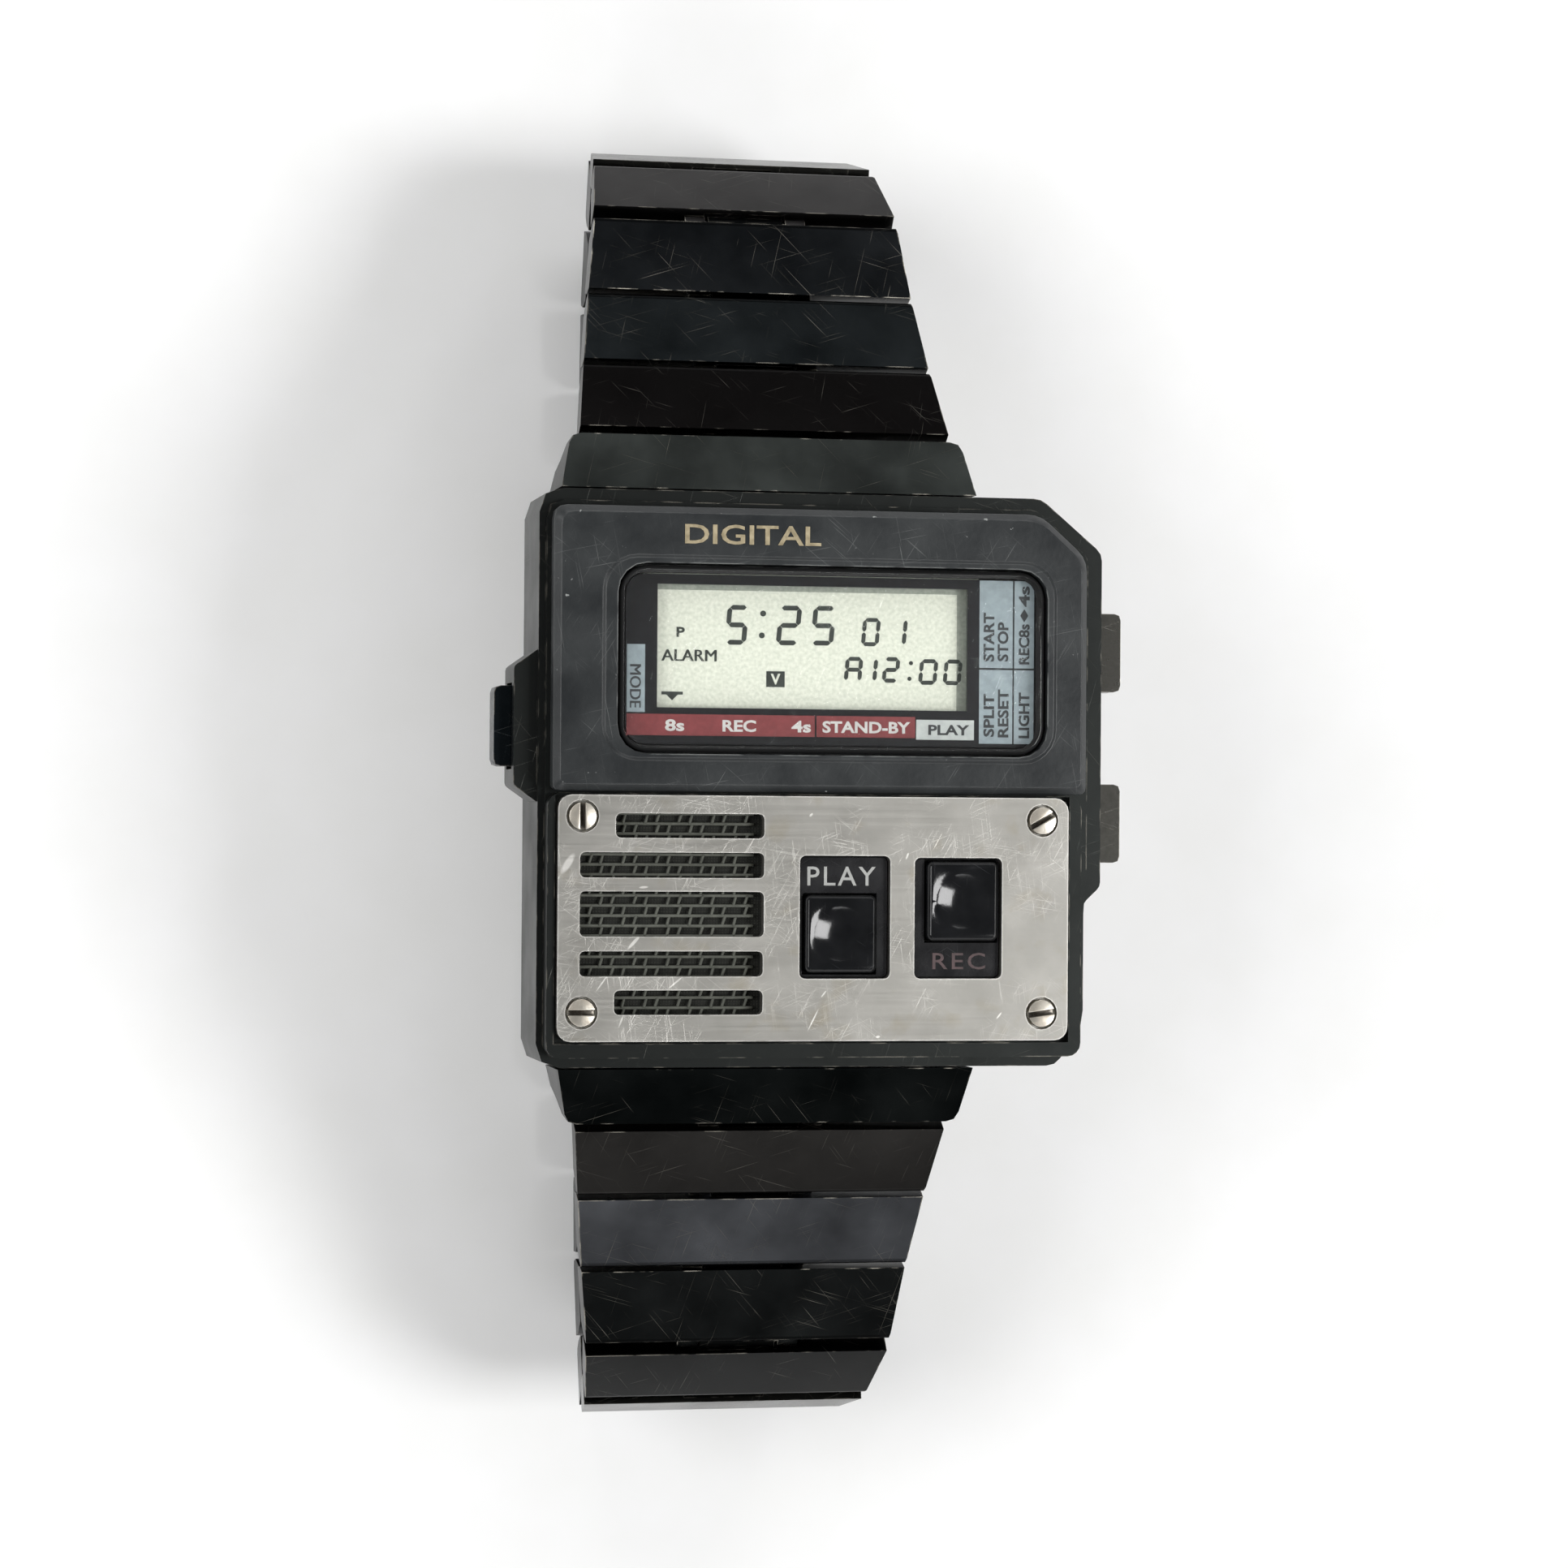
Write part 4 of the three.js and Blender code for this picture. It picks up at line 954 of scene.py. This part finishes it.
# %% [markdown]
# ## Words
#
# The printed words are short and plain. Each is set in the built-in typeface, turned to a
# mesh and stretched to the box it fills on the real part, so its size is exact however the
# typeface is drawn. Widening the outlines closes the corners of an M, so ALARM and MODE
# are made bold another way: each is set twice, a twentieth of a millimetre apart.


# %% One word as loose outlines, stretched into a box
def word(mesh, text, box, z, turn=0, thickness=0.01, bold=0.0, spread=1.0):
    curve = bpy.data.curves.new("word", "FONT")
    curve.body = text
    curve.offset = bold
    curve.space_character = spread
    curve.resolution_u = 3
    holder = bpy.data.objects.new("word", curve)
    bpy.context.scene.collection.objects.link(holder)
    bpy.context.view_layer.update()
    seen = holder.evaluated_get(bpy.context.evaluated_depsgraph_get())
    flat = bpy.data.meshes.new_from_object(seen)
    bpy.data.objects.remove(holder)
    spin = Matrix.Rotation(math.radians(turn), 3, "Z")
    for v in flat.vertices:
        v.co = spin @ v.co
    xs, ys = [v.co.x for v in flat.vertices], [v.co.y for v in flat.vertices]
    x0, x1, y0, y1 = box
    grow_x, grow_y = (x1 - x0) / (max(xs) - min(xs)), (y1 - y0) / (max(ys) - min(ys))
    for v in flat.vertices:
        v.co = Vector((x0 + (v.co.x - min(xs)) * grow_x, y0 + (v.co.y - min(ys)) * grow_y, z)) * MM
    letters = bmesh.new()
    letters.from_mesh(flat)
    bmesh.ops.remove_doubles(letters, verts=letters.verts, dist=1e-7)
    faces = bmesh.ops.extrude_face_region(letters, geom=letters.faces[:])["geom"]
    raised = [v for v in faces if isinstance(v, bmesh.types.BMVert)]
    bmesh.ops.translate(letters, verts=raised, vec=(0, 0, thickness * MM))
    letters.to_mesh(flat)
    letters.free()
    mesh.from_mesh(flat)
    bpy.data.meshes.remove(flat)


# %% Words on the display itself
said = bmesh.new()
word(said, "P", (-6.45, -5.9, 9.32, 9.98), GLASS, thickness=0.02, bold=0.03)
for shift in (0.0, 0.05):
    box = (-7.45 + shift, -3.8 + shift, 7.74, 8.5)
    word(said, "ALARM", box, GLASS + shift / 10, thickness=0.02)
slab(said, [(-0.42, 6.1), (0.82, 6.1), (0.82, 7.15), (-0.42, 7.15)], GLASS, 0.02)
display_words = piece("display_words", said, crystal_dark)
knocked_out = bmesh.new()
word(knocked_out, "V", (-0.12, 0.52, 6.27, 6.98), GLASS + 0.02, thickness=0.02, bold=0.03)
memo_mark = piece("display_memo_mark", knocked_out, display_cream)


# %% Painted shadow on the display: a darker strip inside the window along its right and top
def panel(mesh, x0, x1, y0, y1, z, thickness=0.015):
    slab(mesh, [(x0, y0), (x1, y0), (x1, y1), (x0, y1)], z, thickness)


shadow_band = bmesh.new()
# Painted shadow: strips where the mask's raised edge shades the display.
panel(shadow_band, 12.5, 13.9, 4.0, 13.4, GLASS, 0.008)
panel(shadow_band, -8.6, 12.5, 12.42, 13.4, GLASS, 0.008)
shadow_strip = piece("display_painted_shadow", shadow_band, display_shadow_tone)

# %% Printed fields round the display: levels of the fields and of the words on them
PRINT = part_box("display_mask")[1].z / MM + 0.003
ON_FIELD = PRINT + 0.016
fields = bmesh.new()
for box in [
    (-9.86, -8.66, 4.33, 8.77),
    (13.86, 16.14, 7.54, 13.36),
    (13.86, 16.14, 2.5, 7.42),
    (16.25, 17.6, 7.54, 13.36),
    (16.25, 17.6, 2.5, 7.42),
]:
    panel(fields, *box, PRINT)
grey_fields = piece("printed_grey_fields", fields, ink_grey)
strip = bmesh.new()
panel(strip, -9.86, 2.71, 2.82, 4.22, PRINT)
panel(strip, 2.83, 9.5, 2.82, 4.22, PRINT)
red_fields = piece("printed_red_fields", strip, ink_red)
pale = bmesh.new()
panel(pale, 9.58, 13.52, 2.72, 4.04, PRINT)
pale_field = piece("printed_pale_field", pale, ink_pale)

# %% Words on the fields
white = bmesh.new()
for text, box in [
    ("8s", (-7.31, -6.03, 3.1, 3.88)),
    ("REC", (-3.48, -1.24, 3.1, 3.88)),
    ("4s", (1.14, 2.45, 3.1, 3.88)),
    ("STAND-BY", (3.23, 9.17, 3.1, 3.88)),
]:
    word(white, text, box, ON_FIELD, bold=0.03)
white_words = piece("printed_white_words", white, ink_white)
dark = bmesh.new()
word(dark, "PLAY", (10.4, 13.2, 3.04, 3.72), ON_FIELD, bold=0.03)
for shift in (0.0, 0.05):
    box = (-9.66, -8.92, 4.6 + shift, 7.4 + shift)
    word(dark, "MODE", box, ON_FIELD + shift / 10, -90)
for text, box in [
    ("START", (14.13, 14.88, 7.97, 11.22)),
    ("STOP", (15.1, 15.85, 7.99, 10.61)),
    ("REC8s", (16.55, 17.3, 7.81, 10.5)),
    ("4s", (16.55, 17.3, 11.65, 13.03)),
    ("SPLIT", (14.16, 14.9, 2.96, 5.81)),
    ("RESET", (15.14, 15.89, 2.93, 6.12)),
    ("LIGHT", (16.57, 17.32, 2.89, 5.94)),
]:
    word(dark, text, box, ON_FIELD, 90, bold=0.03)
slab(dark, [(16.92, 10.62), (17.2, 11.06), (16.92, 11.5), (16.64, 11.06)], ON_FIELD, 0.01)
dark_words = piece("printed_dark_words", dark, ink_black)

# %% Words in the two button wells, and a plain word over the display
LEDGE = below(0.85) + 0.003
play = bmesh.new()
word(play, "PLAY", (2.25, 6.86, -6.97, -5.72), LEDGE, thickness=0.012, bold=0.006, spread=1.18)
play_word = piece("play_word", play, ink_white)
record = bmesh.new()
word(record, "REC", (10.75, 14.35, -12.5, -11.4), LEDGE, thickness=0.012, bold=0.006, spread=1.18)
record_word = piece("record_word", record, ink_dull_red)
plain = bmesh.new()
word(plain, "DIGITAL", (-6.2, 2.9, 15.35, 16.65), below(0.2) + 0.003, thickness=0.03, bold=0.012)
bezel_word = piece("bezel_word", plain, ink_brass)

# %% [markdown]
# ## Floor and light
#
# The floor is a plain pale sheet. Dark, glossy things are lit by what they mirror, so the
# light comes from large soft panels set off to the sides, clear of the direction that the
# flat crystal mirrors to the viewer. The panel on the right is the strongest. The sky is
# pale near the horizon, as in a white studio, and dim overhead, so flat blacks stay deep.

# %% Floor
ground = bmesh.new()
SIDE = 900
slab(ground, [(-SIDE, -SIDE), (SIDE, -SIDE), (SIDE, SIDE), (-SIDE, SIDE)], -1.0, 1.0)
floor_data = bpy.data.meshes.new("floor")
ground.to_mesh(floor_data)
ground.free()
floor = bpy.data.objects.new("floor", floor_data)
bpy.context.scene.collection.objects.link(floor)
floor_paint, tree, in_mm, shader, _ = new_finish("pale_painted_board")
speckle = patches(tree, in_mm, 8.0, 0.3, 0.7)
tones = {0: speckle, 6: linear("#f4f4f3"), 7: linear("#f7f7f7")}
tone = add(tree, "ShaderNodeMix", tones, data_type="RGBA").outputs[2]
fill(tree, shader, {"Base Color": tone, "Roughness": 0.8, "Specular IOR Level": 0.2})
floor_data.materials.append(floor_paint)
print("floor", 2 * SIDE, "mm square")


# %% Soft light panels: place and size in metres, power in watts
def soft_panel(name, place, size, power):
    lamp = bpy.data.lights.new(name, "AREA")
    lamp.shape = "RECTANGLE"
    lamp.size, lamp.size_y = size
    lamp.energy = power
    holder = bpy.data.objects.new(name, lamp)
    bpy.context.scene.collection.objects.link(holder)
    holder.location = place
    towards = Vector((0, 0, 0.02)) - Vector(place)
    holder.rotation_euler = towards.to_track_quat("-Z", "Y").to_euler()
    print(name, power, "W")


soft_panel("right_panel", (0.66, -0.14, 0.80), (0.40, 0.40), 6.0)
soft_panel("left_panel", (-0.80, 0.10, 0.70), (0.70, 0.70), 5.8)
soft_panel("far_panel", (0.10, 0.80, 0.60), (0.90, 0.50), 4.0)
soft_panel("near_panel", (0.00, -0.80, 0.60), (0.90, 0.50), 3.4)

# %% Sky: pale at the horizon, dim overhead
world = bpy.data.worlds.new("studio")
world.use_nodes = True
sky = world.node_tree
direction = add(sky, "ShaderNodeTexCoord").outputs["Generated"]
climb = add(sky, "ShaderNodeSeparateXYZ", {0: direction}).outputs["Z"]
fade = {"Value": climb, "From Min": 0.04, "From Max": 0.25, "To Min": 0.92, "To Max": 0.10}
strength = add(sky, "ShaderNodeMapRange", fade).outputs[0]
fill(sky, sky.nodes["Background"], {"Color": (1, 1, 1, 1), "Strength": strength})
bpy.context.scene.world = world
bpy.context.scene.view_settings.view_transform = "Standard"
